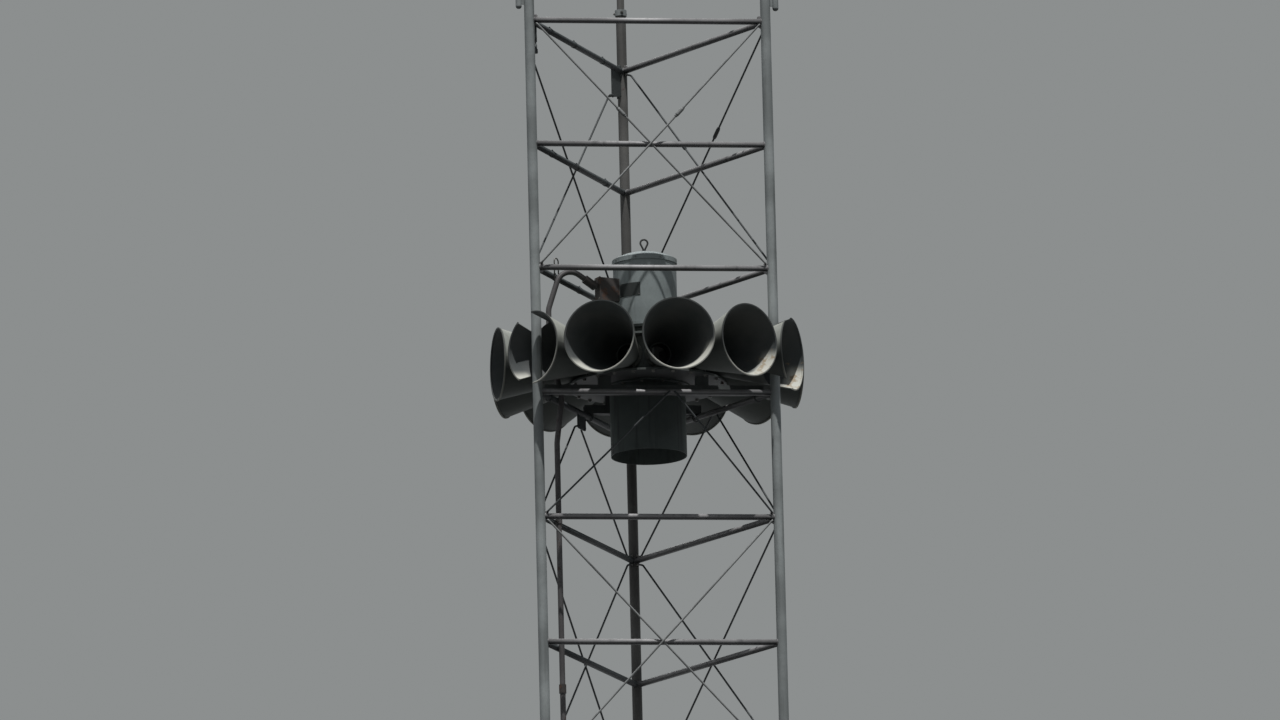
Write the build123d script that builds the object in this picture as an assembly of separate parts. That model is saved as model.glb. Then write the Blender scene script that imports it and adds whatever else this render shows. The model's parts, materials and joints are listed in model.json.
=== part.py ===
from build123d import *
import os
from math import acos, asin, atan2, cos, degrees, hypot, radians, sin, sqrt, tan

# A civil defense siren carried inside a three-legged tube tower.
# Millimetres. +Z is up, the ground is Z = 0, and the tower's own axis is X = Y = 0.
# The front face of the tower looks along -Y.

# Tower frame
FACE = 1143.0  # leg centre to leg centre
PANEL = 610.0  # one strut to the next
PANELS = 21
BAY_PANELS = 2  # panels that one crossed pair of rods spans
FIRST_STRUT = 200.0
LEG_ABOVE_TOP_STRUT = 160.0
LEG_OD = 48.3
LEG_WALL = 3.7
TOP_LEG_OD = 36.0
TOP_LEG_WALL = 3.2
CLEAR = 0.3  # between pieces that seat on each other

# Leg joints: a sleeve low down and a collar where the thinner top pipes begin
SLEEVE_LEVEL = 10
COLLAR_LEVEL = 20  # also the highest strut that rods reach
SLEEVE_ABOVE_STRUT = 220.0
COLLAR_ABOVE_STRUT = 279.0
SLEEVE_LENGTH = 300.0
SLEEVE_WALL = 4.0
BUTT_GAP = 2.0
COLLAR_HEIGHT = 30.0
COLLAR_OD = 57.0
TOP_LEG_INSERT = 110.0

# Foot plates
FOOT_SIZE = 158.0
FOOT_THICKNESS = 16.0
FOOT_BOLT_SPACING = 118.0
FOOT_BOLT_HOLE = 9.0  # radius
FOOT_SOCKET_HEIGHT = 60.0
FOOT_SOCKET_WALL = 5.0
FOOT_CORNER = 12.0

# Struts, their end tabs, and the crossed rods
STRUT_OD = 28.6
TAB_LENGTH = 16.0
TAB_HEIGHT = 54.0
TAB_THICKNESS = 6.0
TAB_OVERLAP = 11.0  # how far the tube runs over its end tab
STUD_RADIUS = 6.0
STUD_FROM_END = 8.0
STUD_RISE = 20.0
ROD_OD = 9.5
ROD_PAST_STUD = 8.0
COUPLER_OD = 19.0
COUPLER_LENGTH = 58.0
COUPLER_PLACE = 0.37  # down the rod from its upper end, in the highest bay
BAR_SIDES = 8
ROD_SIDES = 6

# The bay that holds the siren has rods in its lower panel only
SIREN_STRUT = 17
HANGER_THICKNESS = 6.0
HANGER_EDGE = 12.0
SIREN_RODS = {  # for each face: place along the strut, half the space between ends, their drop
    "front": (73.0, 12.0, 0.0),
    "left": (41.0, 36.0, 68.0),
    "right": (-68.0, 12.0, 0.0),
}

# Plate, link and side pipes near the leg collars
TENSION_PLATE = (110.0, 143.0, 6.0)
LINK_LENGTH = 150.0
LINK_OD = 13.0
LINK_FROM_LEG = 62.0
LINK_NUT_OD = 20.0
LINK_NUT_HEIGHT = 22.0
SIDE_PIPE_OD = 29.0
SIDE_PIPE_OFFSET = 50.0
SIDE_PIPE_RISE = 54.0
SIDE_PIPE_LENGTH = 640.0
TIE_PLATE_HEIGHT = 90.0
TIE_PLATE_THICKNESS = 6.0
TIE_PLATE_RISE = 22.0

# Siren head
HORNS = 12
HORN_TURN = 4.7  # degrees from each leg round to the horn that it passes through
STATOR_APOTHEM = 300.0
STATOR_HALF_HEIGHT = 85.0
CHAMBER_RADIUS = 236.0
PORT_RADIUS = 50.0
THROAT_RADIUS = 56.0
THROAT_FLANGE_RADIUS = 75.0
THROAT_FLANGE = 8.0
HORN_LENGTH = 433.0
MOUTH_RADIUS = 171.5
HORN_WALL = 2.5
LIP_WIDTH = 9.0
LIP_HEIGHT = 3.0
NOTCH_WIDTH = 98.0
NOTCH_BEHIND_LEG = 22.0
NOTCH_CORNER = 20.0
PLATE_RADIUS = 380.0
PLATE_THICKNESS = 10.0
TUBE_OD = 365.0
TUBE_WALL = 3.0
TUBE_LENGTH = 341.0
TUBE_FLANGE_RADIUS = 206.0
TUBE_FLANGE = 8.0

# Rotor inside the stator
ROTOR_GAP = 4.0
ROTOR_HALF_HEIGHT = 66.0
ROTOR_DISC = 8.0
SHROUD_BORE = 165.0
VANE_THICKNESS = 7.0
VANE_INNER = 100.0
HUB_RADIUS = 42.0
SHAFT_RADIUS = 18.0
SHAFT_GAP = 2.0

# Motor on its pedestal
PEDESTAL_HEIGHT = 86.0
PEDESTAL_RADIUS = 128.0
PEDESTAL_WALL = 10.0
PEDESTAL_FLANGE_RADIUS = 166.0
PEDESTAL_FLANGE = 12.0
RIBS = 6
RIB_THICKNESS = 8.0
MOTOR_RADIUS = 152.5
MOTOR_HEIGHT = 336.0
MOTOR_FLANGE_RADIUS = 170.0
MOTOR_FLANGE = 14.0
CAP_OVERHANG = 4.0
CAP_LIP = 12.0
CAP_GAP = 1.5
CAP_SKIRT = 10.0
CAP_RISE = 42.0
CAP_BOSS_RADIUS = 20.0
CAP_BOSS_HEIGHT = 12.0
EYE_RING_RADIUS = 17.5
EYE_WIRE_RADIUS = 4.5
EYE_COLLAR_RADIUS = 9.0
EYE_COLLAR_HEIGHT = 10.0
EYE_CENTRE = 44.0  # above the cap's top
NAMEPLATE_DIRECTION = 232.5  # degrees round from +X
NAMEPLATE_WIDTH = 114.0
NAMEPLATE_HEIGHT = 64.0
NAMEPLATE_THICKNESS = 1.5
NAMEPLATE_BELOW_TOP = 127.0

# Beams that carry the siren on the struts
BEAM_OFFSET = 212.0  # from the tower's axis, along Y
BEAM_WIDTH = 50.0
BEAM_HEIGHT = 42.0
BEAM_WALL = 5.0
BEAM_PAST_STRUT = 24.0
FOOT_BLOCK = (60.0, 44.0, 44.0)
FRONT_BLOCK_X = 235.0
BACK_BLOCK_X = 150.0
U_BOLT_WIRE = 3.5
U_BOLT_ABOVE_WEB = 14.0
U_BOLT_NUT = 6.5
U_BOLT_NUT_HEIGHT = 7.0

# Conduit up the left face and over to the motor
CONDUIT_OD = 26.7
CONDUIT_WALL = 2.8
CONDUIT_LENGTH = 3048.0  # of one straight length
CONDUIT_LENGTHS = 3  # below the length that bends
COUPLING_WALL = 3.6
COUPLING_HEIGHT = 42.0
STRAP_WALL = 3.0
STRAP_HEIGHT = 22.0
RISER_ALONG_FACE = 0.13  # of the way from the left leg to the back leg
CONDUIT_BEND = 85.0
UPPER_RISER_RADIUS = 522.0
CONDUIT_TOP_RADIUS = 440.0
RISER_SHIFT_LOW = -420.0  # heights from the horns' own axes
RISER_SHIFT_HIGH = -190.0
RISER_LEAN_HIGH = 60.0
RISER_LEAN_TOP = 245.0
CONDUIT_FALL = 31.0  # degrees
BOX_DEPTH = 104.0
BOX_WIDTH = 50.0
BOX_HEIGHT = 112.0
BOX_BELOW_MOTOR_TOP = 95.0
CONDUIT_ENTRY_BELOW_MOTOR_TOP = 147.0
BOX_LID = 4.0
BOX_LID_EDGE = 3.0
FITTING_OD = 42.0
FITTING_LENGTH = 66.0

# Worked out from the sizes above
LEG_RADIUS = FACE / sqrt(3.0)
FACE_INRADIUS = LEG_RADIUS / 2.0
LEG_TOP = FIRST_STRUT + PANELS * PANEL + LEG_ABOVE_TOP_STRUT
LEG_DIRECTIONS = {"back": 90.0, "left": 210.0, "right": 330.0}
FACE_DIRECTIONS = {"front": 270.0, "left": 150.0, "right": 30.0}
ROD_OFFSET = STRUT_OD / 2 + CLEAR + ROD_OD / 2  # of the rod that passes next to the struts
OUTER_ROD_OFFSET = ROD_OFFSET + ROD_OD + CLEAR  # of the rod that crosses over it


def level(number):
    """Height of a strut's centre line."""
    return FIRST_STRUT + number * PANEL


BEAM_BOTTOM = level(SIREN_STRUT) + STRUT_OD / 2 + CLEAR
BEAM_TOP = BEAM_BOTTOM + BEAM_HEIGHT
STATOR_BOTTOM = BEAM_TOP + FOOT_BLOCK[2] + PLATE_THICKNESS
HORN_LEVEL = STATOR_BOTTOM + STATOR_HALF_HEIGHT
TOP_PLATE_TOP = HORN_LEVEL + STATOR_HALF_HEIGHT + PLATE_THICKNESS
BOTTOM_PLATE_BOTTOM = STATOR_BOTTOM - PLATE_THICKNESS
PEDESTAL_TOP = TOP_PLATE_TOP + PEDESTAL_HEIGHT
MOTOR_TOP = PEDESTAL_TOP + MOTOR_HEIGHT
COLLAR_SEAT = level(COLLAR_LEVEL) + COLLAR_ABOVE_STRUT
SLEEVE_MIDDLE = level(SLEEVE_LEVEL) + SLEEVE_ABOVE_STRUT
HORN_MOUTH = STATOR_APOTHEM + HORN_LENGTH
HORN_STEP = 360.0 / HORNS
GAP_DIRECTION = LEG_DIRECTIONS["left"] + HORN_TURN - HORN_STEP / 2


def polar(radius, direction, height=0.0):
    """A point given by its distance and direction from the tower's axis."""
    return (radius * cos(radians(direction)), radius * sin(radians(direction)), height)


def ring(outside, bore, bottom, top, centre=(0.0, 0.0)):
    """An upright round tube between two heights, from its outer and inner radius."""
    section = Circle(outside) - Circle(bore)
    return Pos(centre[0], centre[1], bottom) * extrude(section, amount=top - bottom)


def disc(radius, bottom, top, centre=(0.0, 0.0)):
    """An upright solid cylinder between two heights."""
    return Pos(centre[0], centre[1], bottom) * extrude(Circle(radius), amount=top - bottom)


def bar(start, end, across, sides):
    """A straight bar of few sides in a face's frame, measured across its flats.

    One pair of its flats lies parallel to the face.
    """
    run = Vector(*end) - Vector(*start)
    section = RegularPolygon(across / 2, sides, major_radius=False, rotation=180 / sides)
    return extrude(Plane(origin=start, x_dir=(0, 0, 1), z_dir=run) * section, amount=run.length)


def face_frame(name):
    """The frame of one tower face: X along the face, Y up and Z outwards, at ground level."""
    direction = FACE_DIRECTIONS[name]
    outwards = polar(1.0, direction)
    along = polar(1.0, direction + 90.0)
    return Plane(origin=polar(FACE_INRADIUS, direction), x_dir=along, z_dir=outwards).location


def leg_outside(number):
    """Outer radius of the leg at a strut level."""
    return (LEG_OD if level(number) < COLLAR_SEAT else TOP_LEG_OD) / 2


def leg(name):
    """One leg: a lower and a middle pipe that butt in a sleeve, and a thinner pipe on top."""
    spot = polar(LEG_RADIUS, LEG_DIRECTIONS[name])
    outer, inner = LEG_OD / 2, LEG_OD / 2 - LEG_WALL
    lower = ring(outer, inner, FOOT_THICKNESS, SLEEVE_MIDDLE - BUTT_GAP / 2, spot)
    middle = ring(outer, inner, SLEEVE_MIDDLE + BUTT_GAP / 2, COLLAR_SEAT, spot)
    top = ring(TOP_LEG_OD / 2, TOP_LEG_OD / 2 - TOP_LEG_WALL, COLLAR_SEAT - TOP_LEG_INSERT, LEG_TOP, spot)
    return [lower, middle, top]


def foot(name):
    """A bolted foot plate with the socket that the leg stands in."""
    spot = polar(LEG_RADIUS, LEG_DIRECTIONS[name])
    outline = RectangleRounded(FOOT_SIZE, FOOT_SIZE, FOOT_CORNER)
    holes = GridLocations(FOOT_BOLT_SPACING, FOOT_BOLT_SPACING, 2, 2) * Circle(FOOT_BOLT_HOLE)
    plate = Pos(spot[0], spot[1], 0) * extrude(outline - holes, amount=FOOT_THICKNESS)
    bore = LEG_OD / 2 + CLEAR
    socket = ring(bore + FOOT_SOCKET_WALL, bore, FOOT_THICKNESS, FOOT_THICKNESS + FOOT_SOCKET_HEIGHT, spot)
    return [plate + socket]


def strut(number, siren_rods):
    """One strut in its face's frame, with flat end tabs and the studs that hold the rods."""
    height = level(number)
    end = FACE / 2 - leg_outside(number) - CLEAR
    tab_start = FACE / 2 - LEG_OD / 2 - CLEAR - TAB_LENGTH
    tube_end = tab_start + TAB_OVERLAP
    shape = bar((-tube_end, height, 0), (tube_end, height, 0), STRUT_OD, BAR_SIDES)
    rises = stud_rises(number)
    for side in (-1, 1):
        centre = side * (tab_start + end) / 2
        tab_height = TAB_HEIGHT if rises else STRUT_OD
        shape += Pos(centre, height, 0) * Box(end - tab_start, tab_height, TAB_THICKNESS)
        for rise in rises:
            out = rod_offset(side if rise < 0 else -side)
            if number == SIREN_STRUT - 1 and rise > 0:
                out = ROD_OFFSET
            shape += stud(side * (end - STUD_FROM_END), height + rise, out)
    shift, spread, drop = siren_rods
    if number == SIREN_STRUT and drop > 0:
        size = (2 * (spread + HANGER_EDGE), drop + HANGER_EDGE, HANGER_THICKNESS)
        shape += Pos(shift, height, 0) * Box(*size, align=(Align.CENTER, Align.MAX, Align.CENTER))
        for side in (-1, 1):
            shape += stud(shift + side * spread, height - drop, ROD_OFFSET)
    return shape


def stud(x, y, out):
    """A stud that stands out of a flat plate up to a rod that lies this far out."""
    height = out - ROD_OD / 2 - CLEAR
    return Pos(x, y, 0) * extrude(RegularPolygon(STUD_RADIUS, ROD_SIDES), amount=height)


def stud_rises(number):
    """Heights of a strut's studs from its centre line: one for each pair of rods that ends there."""
    if number % BAY_PANELS or number > COLLAR_LEVEL:
        return []
    rises = []
    if number < COLLAR_LEVEL:
        rises.append(STUD_RISE)
    if 0 < number and number != SIREN_STRUT + 1:
        rises.append(-STUD_RISE)
    return rises


def rod_offset(upper_side):
    """How far out a rod lies: the one with its upper end on the right crosses over the other."""
    return OUTER_ROD_OFFSET if upper_side > 0 else ROD_OFFSET


def crossed_rods(number, high_ends):
    """The crossed pair above a strut, in its face's frame, with couplers in the highest bay.

    Each upper end is given as its distance from the leg's centre line and its drop from the strut.
    """
    upper = number + BAY_PANELS
    low_x = FACE / 2 - leg_outside(number) - CLEAR - STUD_FROM_END
    rods = []
    for side, (inset, drop) in zip((-1, 1), high_ends):
        out = rod_offset(side)
        low = Vector(-side * low_x, level(number) + STUD_RISE, out)
        high = Vector(side * (FACE / 2 - inset), level(upper) - drop, out)
        along = (low - high).normalized()
        rod = bar(high - along * ROD_PAST_STUD, low + along * ROD_PAST_STUD, ROD_OD, ROD_SIDES)
        if upper == COLLAR_LEVEL and drop == STUD_RISE:
            middle = high + (low - high) * COUPLER_PLACE
            half = along * COUPLER_LENGTH / 2
            rod += bar(middle - half, middle + half, COUPLER_OD, ROD_SIDES)
        rods.append(rod)
    return rods


def siren_rods(shift, spread, drop):
    """The two rods that rise from the corners below the siren towards the middle of its strut."""
    low_y = level(SIREN_STRUT - 1) + STUD_RISE
    high_y = level(SIREN_STRUT) - drop
    low_x = FACE / 2 - leg_outside(SIREN_STRUT - 1) - CLEAR - STUD_FROM_END
    rods = []
    for side in (-1, 1):
        high = Vector(shift + side * spread, high_y, ROD_OFFSET)
        low = Vector(side * low_x, low_y, ROD_OFFSET)
        along = (low - high).normalized()
        rods.append(bar(high, low + along * ROD_PAST_STUD, ROD_OD, ROD_SIDES))
    return rods


def face_struts(name):
    """All the struts of one face."""
    frame = face_frame(name)
    return [frame * strut(number, SIREN_RODS[name]) for number in range(PANELS + 1)]


def face_rods(name):
    """All the rods of one face: crossed pairs, and the two under the siren.

    In the left face the highest pair hangs lower, from the plate and from the link beside it.
    """
    frame = face_frame(name)
    inset = leg_outside(0) + CLEAR + STUD_FROM_END
    shapes = []
    for number in range(0, COLLAR_LEVEL, BAY_PANELS):
        if number == SIREN_STRUT - 1:
            rods = siren_rods(*SIREN_RODS[name])
        elif name == "left" and number + BAY_PANELS == COLLAR_LEVEL:
            rods = crossed_rods(number, (hook_place(), (LINK_FROM_LEG, LINK_LENGTH - LINK_NUT_HEIGHT / 2)))
        else:
            rods = crossed_rods(number, ((inset, STUD_RISE), (inset, STUD_RISE)))
        shapes += [frame * rod for rod in rods]
    return shapes


def sleeves():
    """The outer sleeves round the lower leg joints."""
    bore = LEG_OD / 2 + CLEAR
    low, high = SLEEVE_MIDDLE - SLEEVE_LENGTH / 2, SLEEVE_MIDDLE + SLEEVE_LENGTH / 2
    spots = [polar(LEG_RADIUS, d) for d in LEG_DIRECTIONS.values()]
    return [ring(bore + SLEEVE_WALL, bore, low, high, spot) for spot in spots]


def collars():
    """The collars that sit on the leg pipes and hold the thinner pipes above."""
    bore = TOP_LEG_OD / 2 + CLEAR
    spots = [polar(LEG_RADIUS, d) for d in LEG_DIRECTIONS.values()]
    return [ring(COLLAR_OD / 2, bore, COLLAR_SEAT, COLLAR_SEAT + COLLAR_HEIGHT, spot) for spot in spots]


def side_pipes():
    """A pipe beside each front leg above the highest wide bay, tied to the leg by two plates."""
    bottom = level(COLLAR_LEVEL) + SIDE_PIPE_RISE
    shapes = []
    for name, side in (("left", -1), ("right", 1)):
        x, y, z = polar(LEG_RADIUS, LEG_DIRECTIONS[name])
        pipe_x = x + side * SIDE_PIPE_OFFSET
        pipe = disc(SIDE_PIPE_OD / 2, bottom, bottom + SIDE_PIPE_LENGTH, (pipe_x, y))
        pipe = fillet(pipe.edges().group_by(Axis.Z)[0], SIDE_PIPE_OD / 2 - 1)
        ties = (
            (bottom + TIE_PLATE_RISE, LEG_OD / 2),
            (bottom + SIDE_PIPE_LENGTH - TIE_PLATE_RISE - TIE_PLATE_HEIGHT, TOP_LEG_OD / 2),
        )
        for tie_bottom, leg_radius in ties:
            inner = x + side * (leg_radius + CLEAR)
            width = abs(pipe_x - inner)
            tie = Box(width, TIE_PLATE_THICKNESS, TIE_PLATE_HEIGHT)
            pipe += Pos((inner + pipe_x) / 2, y, tie_bottom + TIE_PLATE_HEIGHT / 2) * tie
        shapes.append(pipe)
    return shapes


def plate_place():
    """Distance of the tension plate's middle from the back leg, and its drop from the strut."""
    width, height, thickness = TENSION_PLATE
    return LEG_OD / 2 + CLEAR + width / 2, TAB_HEIGHT / 2 + CLEAR + height / 2


def hook_place():
    """Distance of the plate's hook from the back leg's centre line, and its drop from the strut."""
    width, height, thickness = TENSION_PLATE
    inset, drop = plate_place()
    return inset + width / 2 - ROD_OD, drop + height / 2 - ROD_OD


def tension_plate():
    """The plate beside the back leg under its highest braced node, in the left face, with its hook."""
    width, height, thickness = TENSION_PLATE
    inset, drop = plate_place()
    hook_inset, hook_drop = hook_place()
    plate = Pos(inset - FACE / 2, level(COLLAR_LEVEL) - drop, 0) * Box(width, height, thickness)
    plate += stud(hook_inset - FACE / 2, level(COLLAR_LEVEL) - hook_drop, ROD_OFFSET)
    return [face_frame("left") * plate]


def link():
    """The link that hangs from the left leg's highest braced node and takes the other rod."""
    x = FACE / 2 - LINK_FROM_LEG
    top = level(COLLAR_LEVEL) - STRUT_OD / 2 - CLEAR
    bottom = level(COLLAR_LEVEL) - LINK_LENGTH
    shape = bar((x, top, 0), (x, bottom, 0), LINK_OD, ROD_SIDES)
    shape += bar((x, bottom + LINK_NUT_HEIGHT, 0), (x, bottom, 0), LINK_NUT_OD, ROD_SIDES)
    shape += stud(x, bottom + LINK_NUT_HEIGHT / 2, OUTER_ROD_OFFSET)
    return [face_frame("left") * shape]


def horn(number):
    """One flared horn. The three that a leg passes through are notched above and below it."""
    slope = (MOUTH_RADIUS - THROAT_RADIUS) / HORN_LENGTH
    wall = HORN_WALL / cos(atan2(MOUTH_RADIUS - THROAT_RADIUS, HORN_LENGTH))
    lip_start = HORN_LENGTH - LIP_WIDTH
    outline = Polyline(
        (0, THROAT_RADIUS),
        (HORN_LENGTH, MOUTH_RADIUS),
        (HORN_LENGTH, MOUTH_RADIUS + wall + LIP_HEIGHT),
        (lip_start, THROAT_RADIUS + slope * lip_start + wall + LIP_HEIGHT),
        (lip_start, THROAT_RADIUS + slope * lip_start + wall),
        (THROAT_FLANGE, THROAT_RADIUS + slope * THROAT_FLANGE + wall),
        (THROAT_FLANGE, THROAT_FLANGE_RADIUS),
        (0, THROAT_FLANGE_RADIUS),
        close=True,
    )
    shell = revolve(make_face(outline), Axis.X)
    if number % (HORNS // 3) == 0:
        shell -= leg_notch()
    direction = LEG_DIRECTIONS["back"] + HORN_TURN + number * HORN_STEP
    shell = Pos(STATOR_APOTHEM, 0, 0) * shell
    return [Pos(0, 0, HORN_LEVEL) * (Rot(0, 0, direction) * shell)]


def leg_notch():
    """The slot cut from the mouth back past the leg, through the horn's top and bottom."""
    leg_along = LEG_RADIUS * cos(radians(HORN_TURN)) - STATOR_APOTHEM
    leg_aside = -LEG_RADIUS * sin(radians(HORN_TURN))
    start = leg_along - LEG_OD / 2 - NOTCH_BEHIND_LEG
    length = HORN_LENGTH - start
    slot = Box(length * 2, NOTCH_WIDTH, MOUTH_RADIUS * 4)
    slot = fillet(slot.edges().filter_by(Axis.Z), NOTCH_CORNER)
    return Pos(start + length, leg_aside, 0) * slot


def stator():
    """The twelve-sided ring with a round port behind each horn."""
    outline = RegularPolygon(
        STATOR_APOTHEM, HORNS, major_radius=False, rotation=HORN_TURN + HORN_STEP / 2
    )
    body = Pos(0, 0, STATOR_BOTTOM) * extrude(outline - Circle(CHAMBER_RADIUS), amount=STATOR_HALF_HEIGHT * 2)
    port = Rot(0, 90, 0) * extrude(Circle(PORT_RADIUS), amount=STATOR_APOTHEM * 2)
    for number in range(HORNS):
        body -= Pos(0, 0, HORN_LEVEL) * (Rot(0, 0, HORN_TURN + number * HORN_STEP) * port)
    return [body]


def rotor():
    """The vaned wheel on the motor's shaft, open below and through its rim."""
    rim = CHAMBER_RADIUS - ROTOR_GAP
    low, high = HORN_LEVEL - ROTOR_HALF_HEIGHT, HORN_LEVEL + ROTOR_HALF_HEIGHT
    wheel = disc(rim, high - ROTOR_DISC, high)
    wheel += ring(rim, SHROUD_BORE, low, low + ROTOR_DISC)
    wheel += disc(HUB_RADIUS, low, high)
    wheel += disc(SHAFT_RADIUS, high, PEDESTAL_TOP - CLEAR)
    vane_length = rim - 1 - VANE_INNER
    vane = Box(vane_length, VANE_THICKNESS, high - low - ROTOR_DISC)
    for number in range(HORNS):
        turned = Rot(0, 0, number * HORN_STEP) * (Pos(VANE_INNER + vane_length / 2, 0, 0) * vane)
        wheel += Pos(0, 0, HORN_LEVEL) * turned
    return [wheel]


def top_plate():
    """The plate over the stator, with a clear hole for the shaft."""
    return [ring(PLATE_RADIUS, SHAFT_RADIUS + SHAFT_GAP, TOP_PLATE_TOP - PLATE_THICKNESS, TOP_PLATE_TOP)]


def bottom_plate():
    """The plate under the stator, open to the intake tube."""
    return [ring(PLATE_RADIUS, TUBE_OD / 2 - TUBE_WALL, BOTTOM_PLATE_BOTTOM, STATOR_BOTTOM)]


def intake_tube():
    """The open tube under the head, hung by its flange."""
    radius = TUBE_OD / 2
    tube = ring(radius, radius - TUBE_WALL, BOTTOM_PLATE_BOTTOM - TUBE_LENGTH, BOTTOM_PLATE_BOTTOM)
    flange = ring(
        TUBE_FLANGE_RADIUS, radius - TUBE_WALL, BOTTOM_PLATE_BOTTOM - TUBE_FLANGE, BOTTOM_PLATE_BOTTOM
    )
    return [tube + flange]


def motor_pedestal():
    """The flanged and ribbed stool between the head and the motor."""
    bore = PEDESTAL_RADIUS - PEDESTAL_WALL
    low, high = TOP_PLATE_TOP, PEDESTAL_TOP
    stool = ring(PEDESTAL_RADIUS, bore, low, high)
    stool += ring(PEDESTAL_FLANGE_RADIUS, bore, low, low + PEDESTAL_FLANGE)
    stool += ring(PEDESTAL_FLANGE_RADIUS, bore, high - PEDESTAL_FLANGE, high)
    depth = PEDESTAL_FLANGE_RADIUS - PEDESTAL_RADIUS
    rib = Box(depth, RIB_THICKNESS, PEDESTAL_HEIGHT - PEDESTAL_FLANGE)
    for number in range(RIBS):
        turned = Rot(0, 0, number * 360.0 / RIBS) * (Pos(PEDESTAL_RADIUS + depth / 2 - 2, 0, 0) * rib)
        stool += Pos(0, 0, (low + high) / 2) * turned
    return [stool]


def motor_body():
    """The closed upright motor with its base flange."""
    body = disc(MOTOR_RADIUS, PEDESTAL_TOP, MOTOR_TOP)
    return [body + disc(MOTOR_FLANGE_RADIUS, PEDESTAL_TOP, PEDESTAL_TOP + MOTOR_FLANGE)]


def motor_cap():
    """The domed rain cap, with a lip that laps over the motor and a boss for the lifting eye."""
    rim = MOTOR_RADIUS + CAP_OVERHANG
    bore = MOTOR_RADIUS + CAP_GAP
    sphere = (rim**2 + CAP_RISE**2) / (2 * CAP_RISE)
    half = asin(rim / sphere) / 2
    shoulder = MOTOR_TOP + CAP_SKIRT
    rise_middle = sphere * cos(half) - (sphere - CAP_RISE)
    dome_top = shoulder + CAP_RISE
    outline = Line((0, MOTOR_TOP), (bore, MOTOR_TOP))
    outline += Line((bore, MOTOR_TOP), (bore, MOTOR_TOP - CAP_LIP))
    outline += Line((bore, MOTOR_TOP - CAP_LIP), (rim, MOTOR_TOP - CAP_LIP))
    outline += Line((rim, MOTOR_TOP - CAP_LIP), (rim, shoulder))
    outline += ThreePointArc((rim, shoulder), (sphere * sin(half), shoulder + rise_middle), (0, dome_top))
    outline += Line((0, dome_top), (0, MOTOR_TOP))
    dome = revolve(Plane.XZ * make_face(outline), Axis.Z)
    return [dome + disc(CAP_BOSS_RADIUS, dome_top - CAP_BOSS_HEIGHT, eye_seat())]


def eye_seat():
    """Height of the boss that the lifting eye stands on."""
    return MOTOR_TOP + CAP_SKIRT + CAP_RISE + CAP_BOSS_HEIGHT / 4


def eye_bolt():
    """The lifting eye on the cap: a loop that narrows to its collar, facing the front."""
    seat = eye_seat()
    foot_rise = EYE_COLLAR_HEIGHT / 2
    lean = acos(EYE_RING_RADIUS / (EYE_CENTRE - foot_rise))
    touch_x = EYE_RING_RADIUS * sin(lean)
    touch_z = EYE_CENTRE - EYE_RING_RADIUS * cos(lean)
    top = (0, 0, seat + EYE_CENTRE + EYE_RING_RADIUS)
    arc = ThreePointArc((-touch_x, 0, seat + touch_z), top, (touch_x, 0, seat + touch_z))
    shape = sweep(Plane(origin=arc @ 0, z_dir=arc % 0) * Circle(EYE_WIRE_RADIUS), path=arc)
    shape += disc(EYE_COLLAR_RADIUS, seat, seat + EYE_COLLAR_HEIGHT)
    for side in (-1, 1):
        run = Vector(side * touch_x, 0, touch_z - foot_rise)
        leg_plane = Plane(origin=(0, 0, seat + foot_rise), z_dir=run)
        shape += extrude(leg_plane * Circle(EYE_WIRE_RADIUS), amount=run.length)
    return [shape]


def nameplate():
    """The plain dark plate on the motor, curved to its side."""
    inner = MOTOR_RADIUS + CLEAR
    half = degrees(NAMEPLATE_WIDTH / 2 / inner)
    band = Circle(inner + NAMEPLATE_THICKNESS) - Circle(inner)
    reach = inner * 3
    wedge = Polyline(
        (0, 0),
        polar(reach, NAMEPLATE_DIRECTION - half)[:2],
        polar(reach, NAMEPLATE_DIRECTION + half)[:2],
        close=True,
    )
    bottom = MOTOR_TOP - NAMEPLATE_BELOW_TOP - NAMEPLATE_HEIGHT
    return [Pos(0, 0, bottom) * extrude(band & make_face(wedge), amount=NAMEPLATE_HEIGHT)]


def junction_box():
    """The wiring box on the motor's left, with its lid to the outside."""
    start = MOTOR_RADIUS + CLEAR
    half_width = BOX_WIDTH / 2
    flat = sqrt(start**2 - half_width**2)
    centre_z = MOTOR_TOP - BOX_BELOW_MOTOR_TOP - BOX_HEIGHT / 2
    depth = start + BOX_DEPTH - flat
    box = Pos(flat + depth / 2, 0, centre_z) * Box(depth, BOX_WIDTH, BOX_HEIGHT)
    box -= disc(start, centre_z - BOX_HEIGHT, centre_z + BOX_HEIGHT)
    lid = Box(BOX_LID, BOX_WIDTH + BOX_LID_EDGE * 2, BOX_HEIGHT + BOX_LID_EDGE * 2)
    box += Pos(start + BOX_DEPTH - BOX_LID / 2, 0, centre_z) * lid
    return [Rot(0, 0, GAP_DIRECTION) * box]


def strap_offset():
    """How far the riser's centre line lies inside the left face."""
    return CONDUIT_OD / 2 + CLEAR + STRAP_WALL + CLEAR + STRUT_OD / 2


def riser_spot():
    """Distance and direction of the riser from the tower's axis, low down."""
    along = FACE * (RISER_ALONG_FACE - 0.5)
    inside = FACE_INRADIUS - strap_offset()
    return hypot(inside, along), FACE_DIRECTIONS["left"] + degrees(atan2(-along, inside))


def conduit_joints():
    """Heights where the riser's lengths meet."""
    return [CONDUIT_LENGTH * (number + 1) for number in range(CONDUIT_LENGTHS)]


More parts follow.
